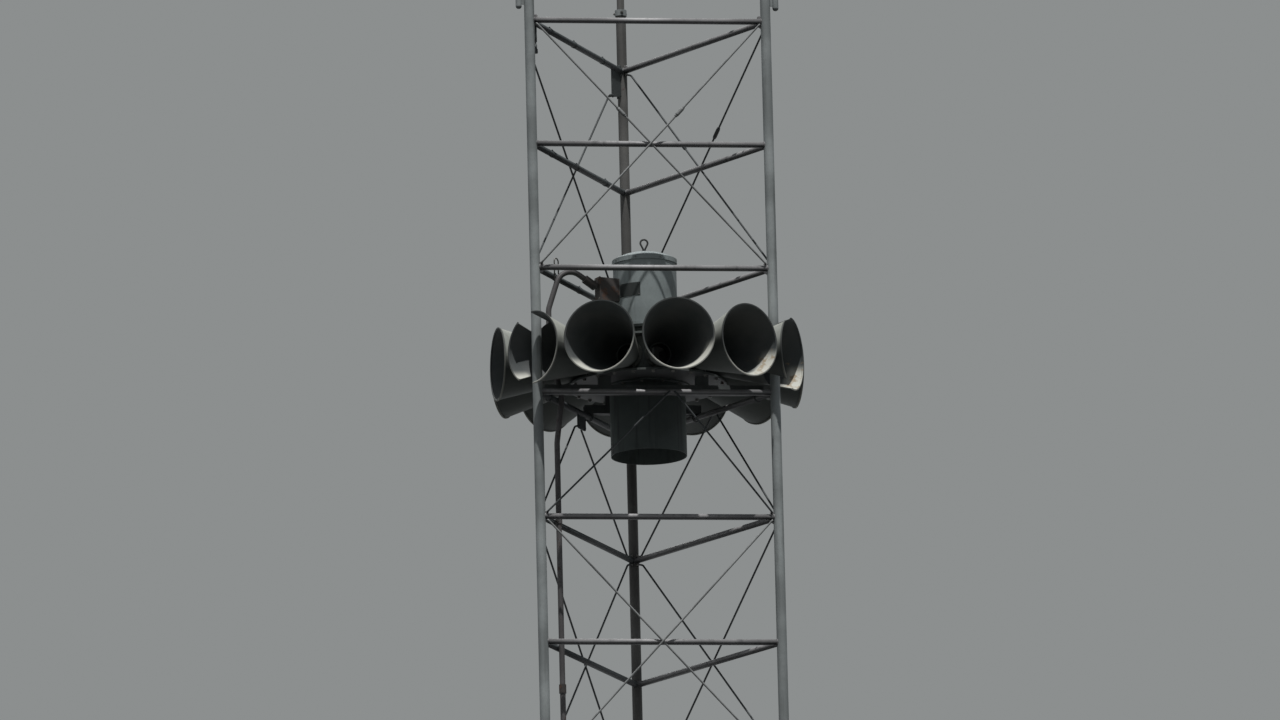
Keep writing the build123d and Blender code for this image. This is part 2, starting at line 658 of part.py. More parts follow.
def conduit_points():
    """The corners of the bent length's centre line, from its joint to the wiring box."""
    radius, direction = riser_spot()
    inside = FACE_INRADIUS - strap_offset()
    passing = inside / cos(radians(GAP_DIRECTION - FACE_DIRECTIONS["left"]))
    box_face = MOTOR_RADIUS + CLEAR + BOX_DEPTH + CLEAR
    entry = MOTOR_TOP - CONDUIT_ENTRY_BELOW_MOTOR_TOP
    fall = tan(radians(CONDUIT_FALL))
    end = box_face + CONDUIT_OD
    return [
        polar(radius, direction, CONDUIT_LENGTH * CONDUIT_LENGTHS),
        polar(radius, direction, HORN_LEVEL + RISER_SHIFT_LOW),
        polar(passing, GAP_DIRECTION, HORN_LEVEL + RISER_SHIFT_HIGH),
        polar(UPPER_RISER_RADIUS, GAP_DIRECTION, HORN_LEVEL + RISER_LEAN_HIGH),
        polar(UPPER_RISER_RADIUS, GAP_DIRECTION, HORN_LEVEL + RISER_LEAN_TOP),
        polar(CONDUIT_TOP_RADIUS, GAP_DIRECTION, entry + (CONDUIT_TOP_RADIUS - box_face) * fall),
        polar(end, GAP_DIRECTION, entry + (end - box_face) * fall),
    ]


def conduit():
    """The hollow conduit: straight lengths, then the one that passes the horns, arches and falls."""
    outer, inner = CONDUIT_OD / 2, CONDUIT_OD / 2 - CONDUIT_WALL
    radius, direction = riser_spot()
    spot = polar(radius, direction)
    shapes = []
    for joint in conduit_joints():
        shapes.append(ring(outer, inner, joint - CONDUIT_LENGTH, joint - CLEAR, spot))
    path = FilletPolyline(*conduit_points(), radius=CONDUIT_BEND)
    section = Circle(outer) - Circle(inner)
    shapes.append(sweep(Plane(origin=path @ 0, z_dir=path % 0) * section, path=path))
    return shapes


def conduit_fittings():
    """The couplings of the riser, and the fitting that takes the conduit into the wiring box."""
    radius, direction = riser_spot()
    spot = polar(radius, direction)
    bore = CONDUIT_OD / 2 + CLEAR
    shapes = []
    for joint in conduit_joints():
        low, high = joint - COUPLING_HEIGHT / 2, joint + COUPLING_HEIGHT / 2
        shapes.append(ring(bore + COUPLING_WALL, bore, low, high, spot))
    points = conduit_points()
    last, before = Vector(*points[-1]), Vector(*points[-2])
    along = (last - before).normalized()
    tilt = FITTING_OD / 2 * sin(radians(CONDUIT_FALL))
    face = CONDUIT_OD / cos(radians(CONDUIT_FALL))
    front = last + along * (face - (CLEAR + tilt) / cos(radians(CONDUIT_FALL)))
    section = Circle(FITTING_OD / 2) - Circle(bore)
    shapes.append(extrude(Plane(origin=front, z_dir=before - last) * section, amount=FITTING_LENGTH))
    return shapes


def conduit_straps():
    """The rings that hold the riser against the left face's struts."""
    radius, direction = riser_spot()
    spot = polar(radius, direction)
    bore = CONDUIT_OD / 2 + CLEAR
    shapes = []
    for number in range(0, SIREN_STRUT, BAY_PANELS):
        low = level(number) - STRAP_HEIGHT / 2
        shapes.append(ring(bore + STRAP_WALL, bore, low, low + STRAP_HEIGHT, spot))
    return shapes


def beam(side, block_x):
    """A channel across two struts, with two blocks that the head stands on."""
    y = side * BEAM_OFFSET
    strut_x = (LEG_RADIUS - y) * tan(radians(30))
    half = strut_x + BEAM_PAST_STRUT
    outline = Rectangle(BEAM_WIDTH, BEAM_HEIGHT) - Pos(0, BEAM_WALL) * Rectangle(
        BEAM_WIDTH - BEAM_WALL * 2, BEAM_HEIGHT
    )
    shape = Pos(-half, y, (BEAM_BOTTOM + BEAM_TOP) / 2) * extrude(Plane.YZ * outline, amount=half * 2)
    for end in (-1, 1):
        for spot in u_bolt_legs(end, strut_x, y):
            shape -= disc(U_BOLT_WIRE + CLEAR, BEAM_BOTTOM - 1, BEAM_BOTTOM + BEAM_WALL + 1, spot)
        block = Box(*FOOT_BLOCK, align=(Align.CENTER, Align.CENTER, Align.MIN))
        cap = Box(
            FOOT_BLOCK[0], BEAM_WIDTH, BEAM_WALL, align=(Align.CENTER, Align.CENTER, Align.MAX)
        )
        shape += Pos(end * block_x, y, BEAM_TOP) * (block + cap)
    return [shape]


def u_bolt_legs(end, strut_x, y):
    """Where a U-bolt's two legs stand, either side of the strut that it holds."""
    reach = STRUT_OD / 2 / cos(radians(180 / BAR_SIDES)) + CLEAR + U_BOLT_WIRE
    across = polar(reach, FACE_DIRECTIONS["right"] if end > 0 else FACE_DIRECTIONS["left"])
    x = end * strut_x
    return [(x - across[0], y - across[1]), (x + across[0], y + across[1])]


def u_bolts():
    """The U-bolts that clamp both beams to the struts, with their nuts."""
    shapes = []
    for side in (-1, 1):
        y = side * BEAM_OFFSET
        strut_x = (LEG_RADIUS - y) * tan(radians(30))
        for end in (-1, 1):
            first, second = u_bolt_legs(end, strut_x, y)
            strut_z = level(SIREN_STRUT)
            top = BEAM_BOTTOM + BEAM_WALL + U_BOLT_ABOVE_WEB
            reach = hypot(second[0] - first[0], second[1] - first[1]) / 2
            middle = (end * strut_x, y, strut_z - reach)
            path = Line((*first, top), (*first, strut_z))
            path += ThreePointArc((*first, strut_z), middle, (*second, strut_z))
            path += Line((*second, strut_z), (*second, top))
            section = Plane(origin=(*first, top), z_dir=(0, 0, -1)) * RegularPolygon(U_BOLT_WIRE, BAR_SIDES)
            shape = sweep(section, path=path)
            for spot in (first, second):
                nut = extrude(RegularPolygon(U_BOLT_NUT, ROD_SIDES), amount=U_BOLT_NUT_HEIGHT)
                shape += Pos(*spot, BEAM_BOTTOM + BEAM_WALL + CLEAR) * nut
            shapes.append(shape)
    return shapes


def write(name, shapes):
    """Write one node, as one or more solids."""
    solids = [solid for shape in shapes for solid in shape.solids()]
    whole = solids[0] if len(solids) == 1 else Compound(children=solids)
    export_step(whole, f"parts/{name}.step")


def build():
    os.makedirs("parts", exist_ok=True)
    for name in LEG_DIRECTIONS:
        write(f"{name}_leg", leg(name))
        write(f"{name}_foot_plate", foot(name))
    for name in FACE_DIRECTIONS:
        write(f"{name}_struts", face_struts(name))
        write(f"{name}_rods", face_rods(name))
    write("leg_sleeves", sleeves())
    write("leg_collars", collars())
    write("side_pipes", side_pipes())
    write("brace_fittings", tension_plate() + link())
    for number in range(HORNS):
        write(f"horn_{number + 1:02d}", horn(number))
    write("stator", stator())
    write("rotor", rotor())
    write("top_plate", top_plate())
    write("bottom_plate", bottom_plate())
    write("intake_tube", intake_tube())
    write("motor_pedestal", motor_pedestal())
    write("motor_body", motor_body())
    write("motor_cap", motor_cap())
    write("eye_bolt", eye_bolt())
    write("nameplate", nameplate())
    write("junction_box", junction_box())
    write("conduit", conduit())
    write("conduit_fittings", conduit_fittings())
    write("conduit_straps", conduit_straps())
    write("front_beam", beam(-1, FRONT_BLOCK_X))
    write("back_beam", beam(1, BACK_BLOCK_X))
    write("u_bolts", u_bolts())


build()
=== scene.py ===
# %% [markdown]
# A siren head inside a lattice tower, dressed for a photograph. The tower's solid parts come
# ready made, at their real size. This script gives them their finishes, makes the round struts
# and hooked rods that the plain bars stand for, and adds the small hardware: bolts, welds,
# rolled lips and couplers. Everything is in metres.

# %% The ready-made tower
import json
from math import atan2, ceil, cos, pi, radians, sin, sqrt

import bpy
from mathutils import Matrix, Vector


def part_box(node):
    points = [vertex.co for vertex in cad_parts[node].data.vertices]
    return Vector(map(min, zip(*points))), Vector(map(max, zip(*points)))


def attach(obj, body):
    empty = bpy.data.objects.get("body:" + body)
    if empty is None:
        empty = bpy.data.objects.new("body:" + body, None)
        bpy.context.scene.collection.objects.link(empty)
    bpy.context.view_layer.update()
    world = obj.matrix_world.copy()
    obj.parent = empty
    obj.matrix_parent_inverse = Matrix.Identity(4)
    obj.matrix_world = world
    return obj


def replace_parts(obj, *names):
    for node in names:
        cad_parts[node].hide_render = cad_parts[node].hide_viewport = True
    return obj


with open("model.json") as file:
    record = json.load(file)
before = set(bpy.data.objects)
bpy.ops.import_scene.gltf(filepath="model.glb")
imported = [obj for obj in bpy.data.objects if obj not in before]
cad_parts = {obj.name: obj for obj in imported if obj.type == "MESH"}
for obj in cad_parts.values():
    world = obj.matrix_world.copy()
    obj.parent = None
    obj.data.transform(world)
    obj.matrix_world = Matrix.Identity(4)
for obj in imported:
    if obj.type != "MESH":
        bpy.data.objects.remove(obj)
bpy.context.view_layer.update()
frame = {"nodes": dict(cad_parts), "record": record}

# %% [markdown]
# The hardware has to sit exactly on the parts that carry it. The tower repeats, so a few driving
# sizes and the boxes of some parts are enough to work out every node of the lattice.

# %% Driving sizes, and the levels of the struts
PANEL = 0.610  # from strut to strut
FIRST_STRUT = 0.200  # above the ground
PANELS = 21
BAY = 2  # the panels that a pair of crossed rods spans
SIREN_STRUT = 17
COLLAR_LEVEL = 20  # also the highest strut that rods reach
COLLAR_RISE = 0.279  # from that strut up to the joint with the thinner leg
SLEEVE_LEVEL = 10
SLEEVE_RISE = 0.220  # from that strut up to the middle of the legs' sleeves
LEG = 0.02415  # radius, as for all round parts here
THIN_LEG = 0.018
STRUT = 0.0143
ROD = 0.00475
SEAT = 0.0003  # between parts that touch
LUG_LENGTH = 0.016
LUG_HALF = 0.003
LUG_HEIGHT = 0.027  # each way from the strut
STUD_RISE = 0.020
STUD_INSET = 0.008
ROD_OUT = STRUT + SEAT + ROD
OUTER_ROD_OUT = ROD_OUT + 2 * ROD + SEAT


def middle(node):
    """The centre of a ready-made part's box."""
    low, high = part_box(node)
    return (low + high) / 2


legs = {name: middle(f"{name}_leg").to_2d() for name in ("left", "right", "back")}
FACE = (legs["right"] - legs["left"]).length
horn_level = middle("stator").z
levels = [FIRST_STRUT + PANEL * number for number in range(PANELS + 1)]
print("legs", FACE, "apart; horns at", round(horn_level, 4), "and", len(levels), "levels of struts")

# %% [markdown]
# Each face of the tower has the same hardware. A frame for each face, with one axis along it,
# one up and one outwards, lets one piece of code place things on all three.

# %% One frame for each face
FACES = {"front": ("left", "right"), "left": ("back", "left"), "right": ("right", "back")}


def face_frame(name):
    """A matrix from face coordinates (along, up, out) to the tower's own."""
    start, end = (legs[leg] for leg in FACES[name])
    along = (end - start).normalized().to_3d()
    out = along.cross(Vector((0, 0, 1)))
    centre = ((start + end) / 2).to_3d()
    return Matrix.Translation(centre) @ Matrix((along, (0, 0, 1), out)).transposed().to_4x4()


def leg_radius(height):
    """The leg is thinner above its collar."""
    return LEG if height < levels[COLLAR_LEVEL] + COLLAR_RISE else THIN_LEG


face_frames = {name: face_frame(name) for name in FACES}
print("faces look towards", {n: [round(v, 2) for v in m.col[2][:3]] for n, m in face_frames.items()})

# %% [markdown]
# Small hardware is simple in shape and many in number, so it is made as plain vertex lists and
# joined: one mesh for all the nuts, one for all the hooks. That keeps the scene light.

# %% A mesh that grows piece by piece
class Shape:
    """Collects simple solids and turns them into one object."""

    def __init__(self, place=None):
        self.points, self.faces, self.rounded = [], [], []
        self.place = place or Matrix.Identity(4)

    def add(self, points, faces, rounded):
        first = len(self.points)
        self.points += [tuple(self.place @ Vector(p)) for p in points]
        self.faces += [tuple(first + index for index in face) for face in faces]
        self.rounded += rounded

    def loft(self, loops, closed=False, caps=True, rounded=True):
        """Skin a row of loops that all have the same number of points."""
        count = len(loops[0])
        points = [p for loop in loops for p in loop]
        faces = []
        for row in range(len(loops) if closed else len(loops) - 1):
            a, b = row * count, (row + 1) % len(loops) * count
            for i in range(count):
                j = (i + 1) % count
                faces.append((a + i, a + j, b + j, b + i))
        flags = [rounded] * len(faces)
        if caps and not closed:
            last = (len(loops) - 1) * count
            faces += [tuple(reversed(range(count))), tuple(last + i for i in range(count))]
            flags += [False, False]
        self.add(points, faces, flags)

    def rod(self, start, end, radius, sides=16, end_radius=None, rounded=True, spin=0.0):
        """A straight round or few-sided bar between two points."""
        start, end = Vector(start), Vector(end)
        side, up = across(end - start)
        loops = []
        for centre, size in ((start, radius), (end, radius if end_radius is None else end_radius)):
            loops.append([centre + size * (side * cos(a) + up * sin(a)) for a in turns(sides, spin)])
        self.loft(loops, rounded=rounded)

    def hoop(self, centre, axis, radius, wire, sides, wire_sides, start=0.0, turn=2 * pi, zero=None):
        """A ring of round wire, or part of one, about an axis."""
        normal = Vector(axis).normalized()
        side, up = across(normal, zero)
        whole = abs(turn - 2 * pi) < 1e-6
        steps = sides if whole else max(3, ceil(sides * turn / (2 * pi)))
        loops = []
        for step in range(steps if whole else steps + 1):
            angle = start + turn * step / steps
            out = side * cos(angle) + up * sin(angle)
            spot = Vector(centre) + out * radius
            loops.append([spot + wire * (out * cos(a) + normal * sin(a)) for a in turns(wire_sides)])
        self.loft(loops, closed=whole)

    def along(self, path, radius, sides=10):
        """A round bar that follows a row of points."""
        path = [Vector(p) for p in path]
        side, up = across(path[1] - path[0])
        loops = []
        for i, spot in enumerate(path):
            run = (path[min(i + 1, len(path) - 1)] - path[max(i - 1, 0)]).normalized()
            side = (side - run * side.dot(run)).normalized()
            up = run.cross(side)
            loops.append([spot + radius * (side * cos(a) + up * sin(a)) for a in turns(sides)])
        self.loft(loops)

    def bead(self, points, size, sides=6):
        """A closed bead of weld along a loop of points, a little uneven."""
        points = [Vector(p) for p in points]
        centre = sum(points, Vector()) / len(points)
        loops = []
        for i, spot in enumerate(points):
            run = (points[(i + 1) % len(points)] - points[i - 1]).normalized()
            side = (spot - centre - run * run.dot(spot - centre)).normalized()
            up = run.cross(side)
            swell = size * uneven(i, 0.15)
            loops.append([spot + swell * (side * cos(a) + up * sin(a)) for a in turns(sides)])
        self.loft(loops, closed=True)

    def plate(self, outline, half, edge=0.0006):
        """A flat plate in the plane of a face, with its edges eased. The outline is along and up."""
        centre = sum((Vector(p) for p in outline), Vector((0, 0))) / len(outline)
        loops = []
        for out, shrink in ((-half, edge), (edge - half, 0), (half - edge, 0), (half, edge)):
            corners = [Vector(p) for p in outline]
            corners = [p + (centre - p).normalized() * shrink for p in corners]
            loops.append([(p.x, p.y, out) for p in corners])
        self.loft(loops, rounded=False)

    def washer(self, centre, axis, radius, thickness, sides=16):
        centre, axis = Vector(centre), Vector(axis).normalized()
        self.rod(centre, centre + axis * thickness, radius, sides, radius * 0.97)

    def bolt(self, seat, axis, size, stub=0.4):
        """A washer, a nut and the end of its bolt, standing on a face. Size is the bolt's radius."""
        seat, axis = Vector(seat), Vector(axis).normalized()
        self.washer(seat, axis, size * 2.2, size * 0.35)
        base = seat + axis * size * 0.35
        top = base + axis * size * 1.5
        self.rod(base, top, size * 1.8, 6, size * 1.72, rounded=False, spin=size * 900)
        self.rod(top, base + axis * size * (1.5 + stub), size, 8)

    def weld(self, start, end, size):
        """A rough bead of weld between two points."""
        start, end = Vector(start), Vector(end)
        count = max(4, round((end - start).length / (size * 0.7)))
        side, up = across(end - start)
        loops = []
        for i in range(count + 1):
            swell = size * uneven(i, 0.16)
            if i in (0, count):
                swell *= 0.5
            spot = start.lerp(end, i / count)
            loops.append([spot + swell * (side * cos(a) + up * sin(a)) for a in turns(7)])
        self.loft(loops)

    def piece(self, name, finish, slot):
        """Make the object, smooth where it is round, and let it ride on the tower."""
        mesh = bpy.data.meshes.new(name)
        mesh.from_pydata(self.points, [], self.faces)
        mesh.polygons.foreach_set("use_smooth", self.rounded)
        mesh.update()
        thing = bpy.data.objects.new(name, mesh)
        bpy.context.scene.collection.objects.link(thing)
        mesh.materials.append(finish)
        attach(thing, "root")
        print(name, len(mesh.polygons), "faces")
        return thing


def uneven(step, share):
    """How much a bead of weld swells at a step along it."""
    return 1 + share * sin(step * 2.4) + 0.08 * sin(step * 5.1)


def turns(count, spin=0.0):
    """Evenly spaced angles round a circle."""
    return [spin + 2 * pi * i / count for i in range(count)]


def across(axis, zero=None):
    """Two directions square to an axis and to each other."""
    axis = Vector(axis).normalized()
    steep = abs(axis.z) >= 0.9
    hint = Vector(zero) if zero is not None else Vector((1, 0, 0) if steep else (0, 0, 1))
    side = (hint - axis * hint.dot(axis)).normalized()
    return side, axis.cross(side)


print("shape tools ready")

# %% [markdown]
# Node materials get long when every sum is a node placed by hand. A small class that wraps a
# socket lets the sums be written as ordinary Python.

# %% Sums on sockets
class Wire:
    """One output socket, with arithmetic that adds Math nodes."""

    def __init__(self, finish, socket):
        self.finish, self.socket = finish, socket

    def math(self, operation, *values):
        return self.finish.node(
            "ShaderNodeMath", {"operation": operation}, dict(enumerate((self, *values)))
        )

    def __add__(self, other):
        return self.math("ADD", other)

    __radd__ = __add__

    def __mul__(self, other):
        return self.math("MULTIPLY", other)

    __rmul__ = __mul__

    def __sub__(self, other):
        return self.math("SUBTRACT", other)

    def __rsub__(self, other):
        return self * -1 + other

    def __truediv__(self, other):
        return self.math("DIVIDE", other)

    def smooth(self, low, high):
        """0 below low, 1 above high, and a soft step between; low may be the larger."""
        step = {"interpolation_type": "SMOOTHSTEP"}
        values = {"Value": self, "From Min": min(low, high), "From Max": max(low, high)}
        rising = self.finish.node("ShaderNodeMapRange", step, values)
        return rising if high > low else 1 - rising

    def clamp(self):
        return self.finish.node("ShaderNodeClamp", {}, {"Value": self})


print("sums ready")

# %% [markdown]
# Every other node comes from one method, which takes its type, its settings and its inputs. A
# finish is such a tree of nodes around one shader. It knows the place of each point in metres,
# because a tower's own coordinates are the same all over, with no seams.

# %% Any other node, and a finish
class Nodes:
    """A tree of shader nodes, made one call at a time."""

    def __init__(self, tree):
        self.tree = tree

    def node(self, kind, settings, inputs, output=0):
        """Any node: settings first, then the values or links of its inputs."""
        node = self.tree.nodes.new(kind)
        for key, value in settings.items():
            setattr(node, key, value)
        for key, value in inputs.items():
            self.plug(node.inputs[key], value)
        return Wire(self, node.outputs[output])

    def plug(self, socket, value):
        if isinstance(value, Wire):
            self.tree.links.new(value.socket, socket)
        else:
            socket.default_value = value

    def blend(self, factor, first, second):
        """Mix two colours, each a wire or a tuple of three numbers."""
        first, second = (c if isinstance(c, Wire) else (*c, 1.0) for c in (first, second))
        return self.node("ShaderNodeMix", {"data_type": "RGBA"}, {0: factor, 6: first, 7: second}, 2)

    def seen(self):
        """1 where the camera sees a surface straight, in a mirror or through glass, else 0."""
        rays = ("Is Camera Ray", "Is Glossy Ray", "Is Transmission Ray")
        camera, glossy, clear = (self.node("ShaderNodeLightPath", {}, {}, ray) for ray in rays)
        return (camera + glossy + clear).clamp()


CHALKY = 0.22  # gloss of old paint and dull steel, where 0.5 is fresh paint


class Finish(Nodes):
    """A material for one part of the tower, around one Principled shader."""

    def __init__(self, name, roughness=0.6, metallic=0.0):
        self.material = bpy.data.materials.new(name)
        self.material.use_nodes = True
        super().__init__(self.material.node_tree)
        self.shader = self.tree.nodes["Principled BSDF"]
        self.feed("Roughness", roughness)
        self.feed("Metallic", metallic)
        self.feed("Specular IOR Level", CHALKY)
        place = self.node("ShaderNodeTexCoord", {}, {}, "Object")
        self.place = place
        self.parts = [self.node("ShaderNodeSeparateXYZ", {}, {0: place}, axis) for axis in "XYZ"]

    def feed(self, socket, value):
        """Set or link one socket of the shader."""
        self.plug(self.shader.inputs[socket], value)

    def noise(self, scale, detail=4.0, roughness=0.55, stretch=(1, 1, 1), shift=0.0):
        """Cloudy noise, with its scale per metre along each axis."""
        values = {"Vector": self.place, "Scale": stretch, "Location": (shift, shift, shift)}
        moved = self.node("ShaderNodeMapping", {}, values)
        values = {"Vector": moved, "Scale": scale, "Detail": detail, "Roughness": roughness}
        return self.node("ShaderNodeTexNoise", {}, values)

    def upward(self):
        """How far the surface faces up, from -1 to 1."""
        normal = self.node("ShaderNodeNewGeometry", {}, {}, "Normal")
        return self.node("ShaderNodeSeparateXYZ", {}, {0: normal}, 2)

    def bump(self, height, distance=0.001, strength=0.5):
        values = {"Height": height, "Distance": distance, "Strength": strength}
        self.feed("Normal", self.node("ShaderNodeBump", {}, values, "Normal"))


print("material tools ready")

# %% [markdown]
# Outdoor paint on steel is never one colour. It chalks in soft clouds, grime runs down it in
# streaks, and rust breaks through in small spots. Undersides are painted darker towards the grime
# colour, as painted shade. The same recipe with other amounts gives most of the tower's finishes.

# %% Weathered paint
PALER, DARKER = 1.22, 0.74


def weathered(
    name, paint, grime_and_shade, rust, rust_share, streaks=0.4, roughness=0.6, metallic=0.0, under=0.75
):
    """Paint with clouds, runs, painted shade on undersides and rust spots. The colours are linear."""
    finish = Finish(name, metallic=metallic)
    clouds = finish.noise(3.5, detail=5)
    speckle = finish.noise(90, detail=3, shift=3.1)
    runs = finish.noise(26, detail=4, stretch=(1, 1, 0.06), shift=7.7)
    spots = finish.noise(17, detail=8, roughness=0.72, shift=1.9)
    paler = tuple(c * PALER for c in paint)
    darker = tuple(c * DARKER for c in paint)
    colour = finish.blend(clouds.smooth(0.35, 0.68), darker, paler)
    colour = finish.blend(speckle.smooth(0.45, 0.75) * 0.25, colour, darker)
    colour = finish.blend(runs.smooth(0.52, 0.74) * streaks, colour, grime_and_shade)
    # painted shade: undersides turn towards the grime colour, by how far they face down
    colour = finish.blend(finish.upward().smooth(0.0, -0.6) * under, colour, grime_and_shade)
    edge = 0.78 - 0.26 * rust_share
    rusty = (spots + clouds * 0.18 - 0.09).smooth(edge, edge + 0.07)
    colour = finish.blend(rusty * 0.85, colour, rust)
    finish.feed("Base Color", colour)
    finish.feed("Roughness", (roughness - 0.08 + clouds * 0.16 + rusty * 0.2).clamp())
    finish.bump(speckle * 0.5 + rusty * 0.8 + spots * 0.3, 0.0008, 0.55)
    return finish


print("weathered paint ready")

# %% [markdown]
# The amounts are judged part by part. The grime colour also paints the shade of undersides, and is
# nearly black as painted shade under the head and softer elsewhere. Rust shows least on the motor and most
# on the wiring box.

# %% Finishes of the steel
GRIME_AND_SHADE = (0.045, 0.047, 0.043)
DEEP_GRIME_AND_SHADE = (0.024, 0.024, 0.025)
WASHED_GRIME_AND_SHADE = (0.11, 0.12, 0.115)
PLATE_GRIME_AND_SHADE = (0.05, 0.05, 0.047)
RUST = (0.16, 0.075, 0.038)
DULL_RUST = (0.10, 0.065, 0.06)
STRUT_RUST = (0.12, 0.075, 0.06)
SHADED_RUST = (0.10, 0.06, 0.05)
BOX_RUST = (0.105, 0.062, 0.045)
CONDUIT_RUST = (0.10, 0.072, 0.060)
leg_paint = weathered("leg_paint", (0.285, 0.305, 0.30), GRIME_AND_SHADE, RUST, 0.25)
back_leg_paint = weathered("back_leg_paint", (0.125, 0.122, 0.115), GRIME_AND_SHADE, DULL_RUST, 0.6)
foot_paint = weathered("foot_paint", (0.13, 0.14, 0.135), GRIME_AND_SHADE, RUST, 0.6)
strut_paint = weathered(
    "strut_paint", (0.27, 0.265, 0.265), DEEP_GRIME_AND_SHADE, STRUT_RUST, 0.45,
    roughness=0.5, metallic=0.15, under=0.92,
)
shaded_paint = weathered("shaded_paint", (0.085, 0.095, 0.097), DEEP_GRIME_AND_SHADE, SHADED_RUST, 0.4, under=0.9)
rod_steel = weathered(
    "rod_steel", (0.060, 0.066, 0.067), DEEP_GRIME_AND_SHADE, RUST, 0.4, roughness=0.55, metallic=0.2
)
rod_zinc = weathered("rod_zinc", (0.22, 0.225, 0.222), GRIME_AND_SHADE, RUST, 0.35, roughness=0.5, metallic=0.2)
hardware = weathered("hardware_steel", (0.17, 0.165, 0.155), GRIME_AND_SHADE, RUST, 0.6, roughness=0.45, metallic=0.6)
motor_paint = weathered("motor_paint", (0.205, 0.23, 0.228), WASHED_GRIME_AND_SHADE, RUST, 0.12, streaks=0.6)
# painted shade: the head's undersides turn near black
head_paint = weathered("head_paint", (0.085, 0.095, 0.09), DEEP_GRIME_AND_SHADE, RUST, 0.35, under=0.9)
tube_paint = weathered("tube_paint", (0.078, 0.092, 0.088), DEEP_GRIME_AND_SHADE, RUST, 0.2, streaks=0.7)
rotor_cast = weathered("rotor_cast", (0.20, 0.205, 0.205), GRIME_AND_SHADE, RUST, 0.1, roughness=0.5, metallic=0.7)
eye_steel = weathered("eye_steel", (0.06, 0.06, 0.06), GRIME_AND_SHADE, RUST, 0.4, metallic=0.4)
dark_plate = weathered("plain_plate", (0.028, 0.032, 0.031), PLATE_GRIME_AND_SHADE, RUST, 0.2, roughness=0.45)
box_paint = weathered("box_paint", (0.062, 0.055, 0.052), DEEP_GRIME_AND_SHADE, BOX_RUST, 0.9)
conduit_zinc = weathered("conduit_zinc", (0.118, 0.112, 0.112), GRIME_AND_SHADE, CONDUIT_RUST, 0.7, metallic=0.2)
fitting_steel = weathered("fitting_steel", (0.055, 0.062, 0.062), GRIME_AND_SHADE, RUST, 0.25, roughness=0.55)
beam_paint = weathered("beam_paint", (0.075, 0.082, 0.08), DEEP_GRIME_AND_SHADE, RUST, 0.4, under=0.9)
print(len(bpy.data.materials), "finishes so far")

# %% [markdown]
# The horns are pale and chalky on top, with painted shade below and inside: the undersides and
# the insides of the mouths are painted dark. The lower lip inside the mouths has a pale patch of
# painted sunlight, though not on the leftmost horn, and on the right horns rust shows through it.
# The rim is painted lit below and shaded above. One finish serves all of them: it works out which
# horn a point belongs to from its direction, then how deep inside that horn it lies.

# %% Horn paint that knows its own horn
HORNS = 12
HORN_TURN = radians(4.7)  # of the ring, from the legs' directions
STATOR = 0.300  # from the axis to the horns' throats
HORN_LENGTH = 0.433
THROAT = 0.056
MOUTH = 0.1715
FLARE = (MOUTH - THROAT) / HORN_LENGTH
CHALK, PALE_CHALK, WASHED = (0.235, 0.245, 0.222), (0.33, 0.335, 0.30), (0.17, 0.168, 0.15)
UNDERSIDE_SHADE, INNER_SHADE, PALER_INNER_SHADE = (0.030, 0.034, 0.032), (0.060, 0.068, 0.068), (0.098, 0.102, 0.100)
PAINTED_SUNLIGHT, WORN = (0.50, 0.495, 0.44), (0.27, 0.19, 0.105)
RIM_LIT, RIM_SHADED = (0.36, 0.355, 0.315), (0.045, 0.048, 0.047)


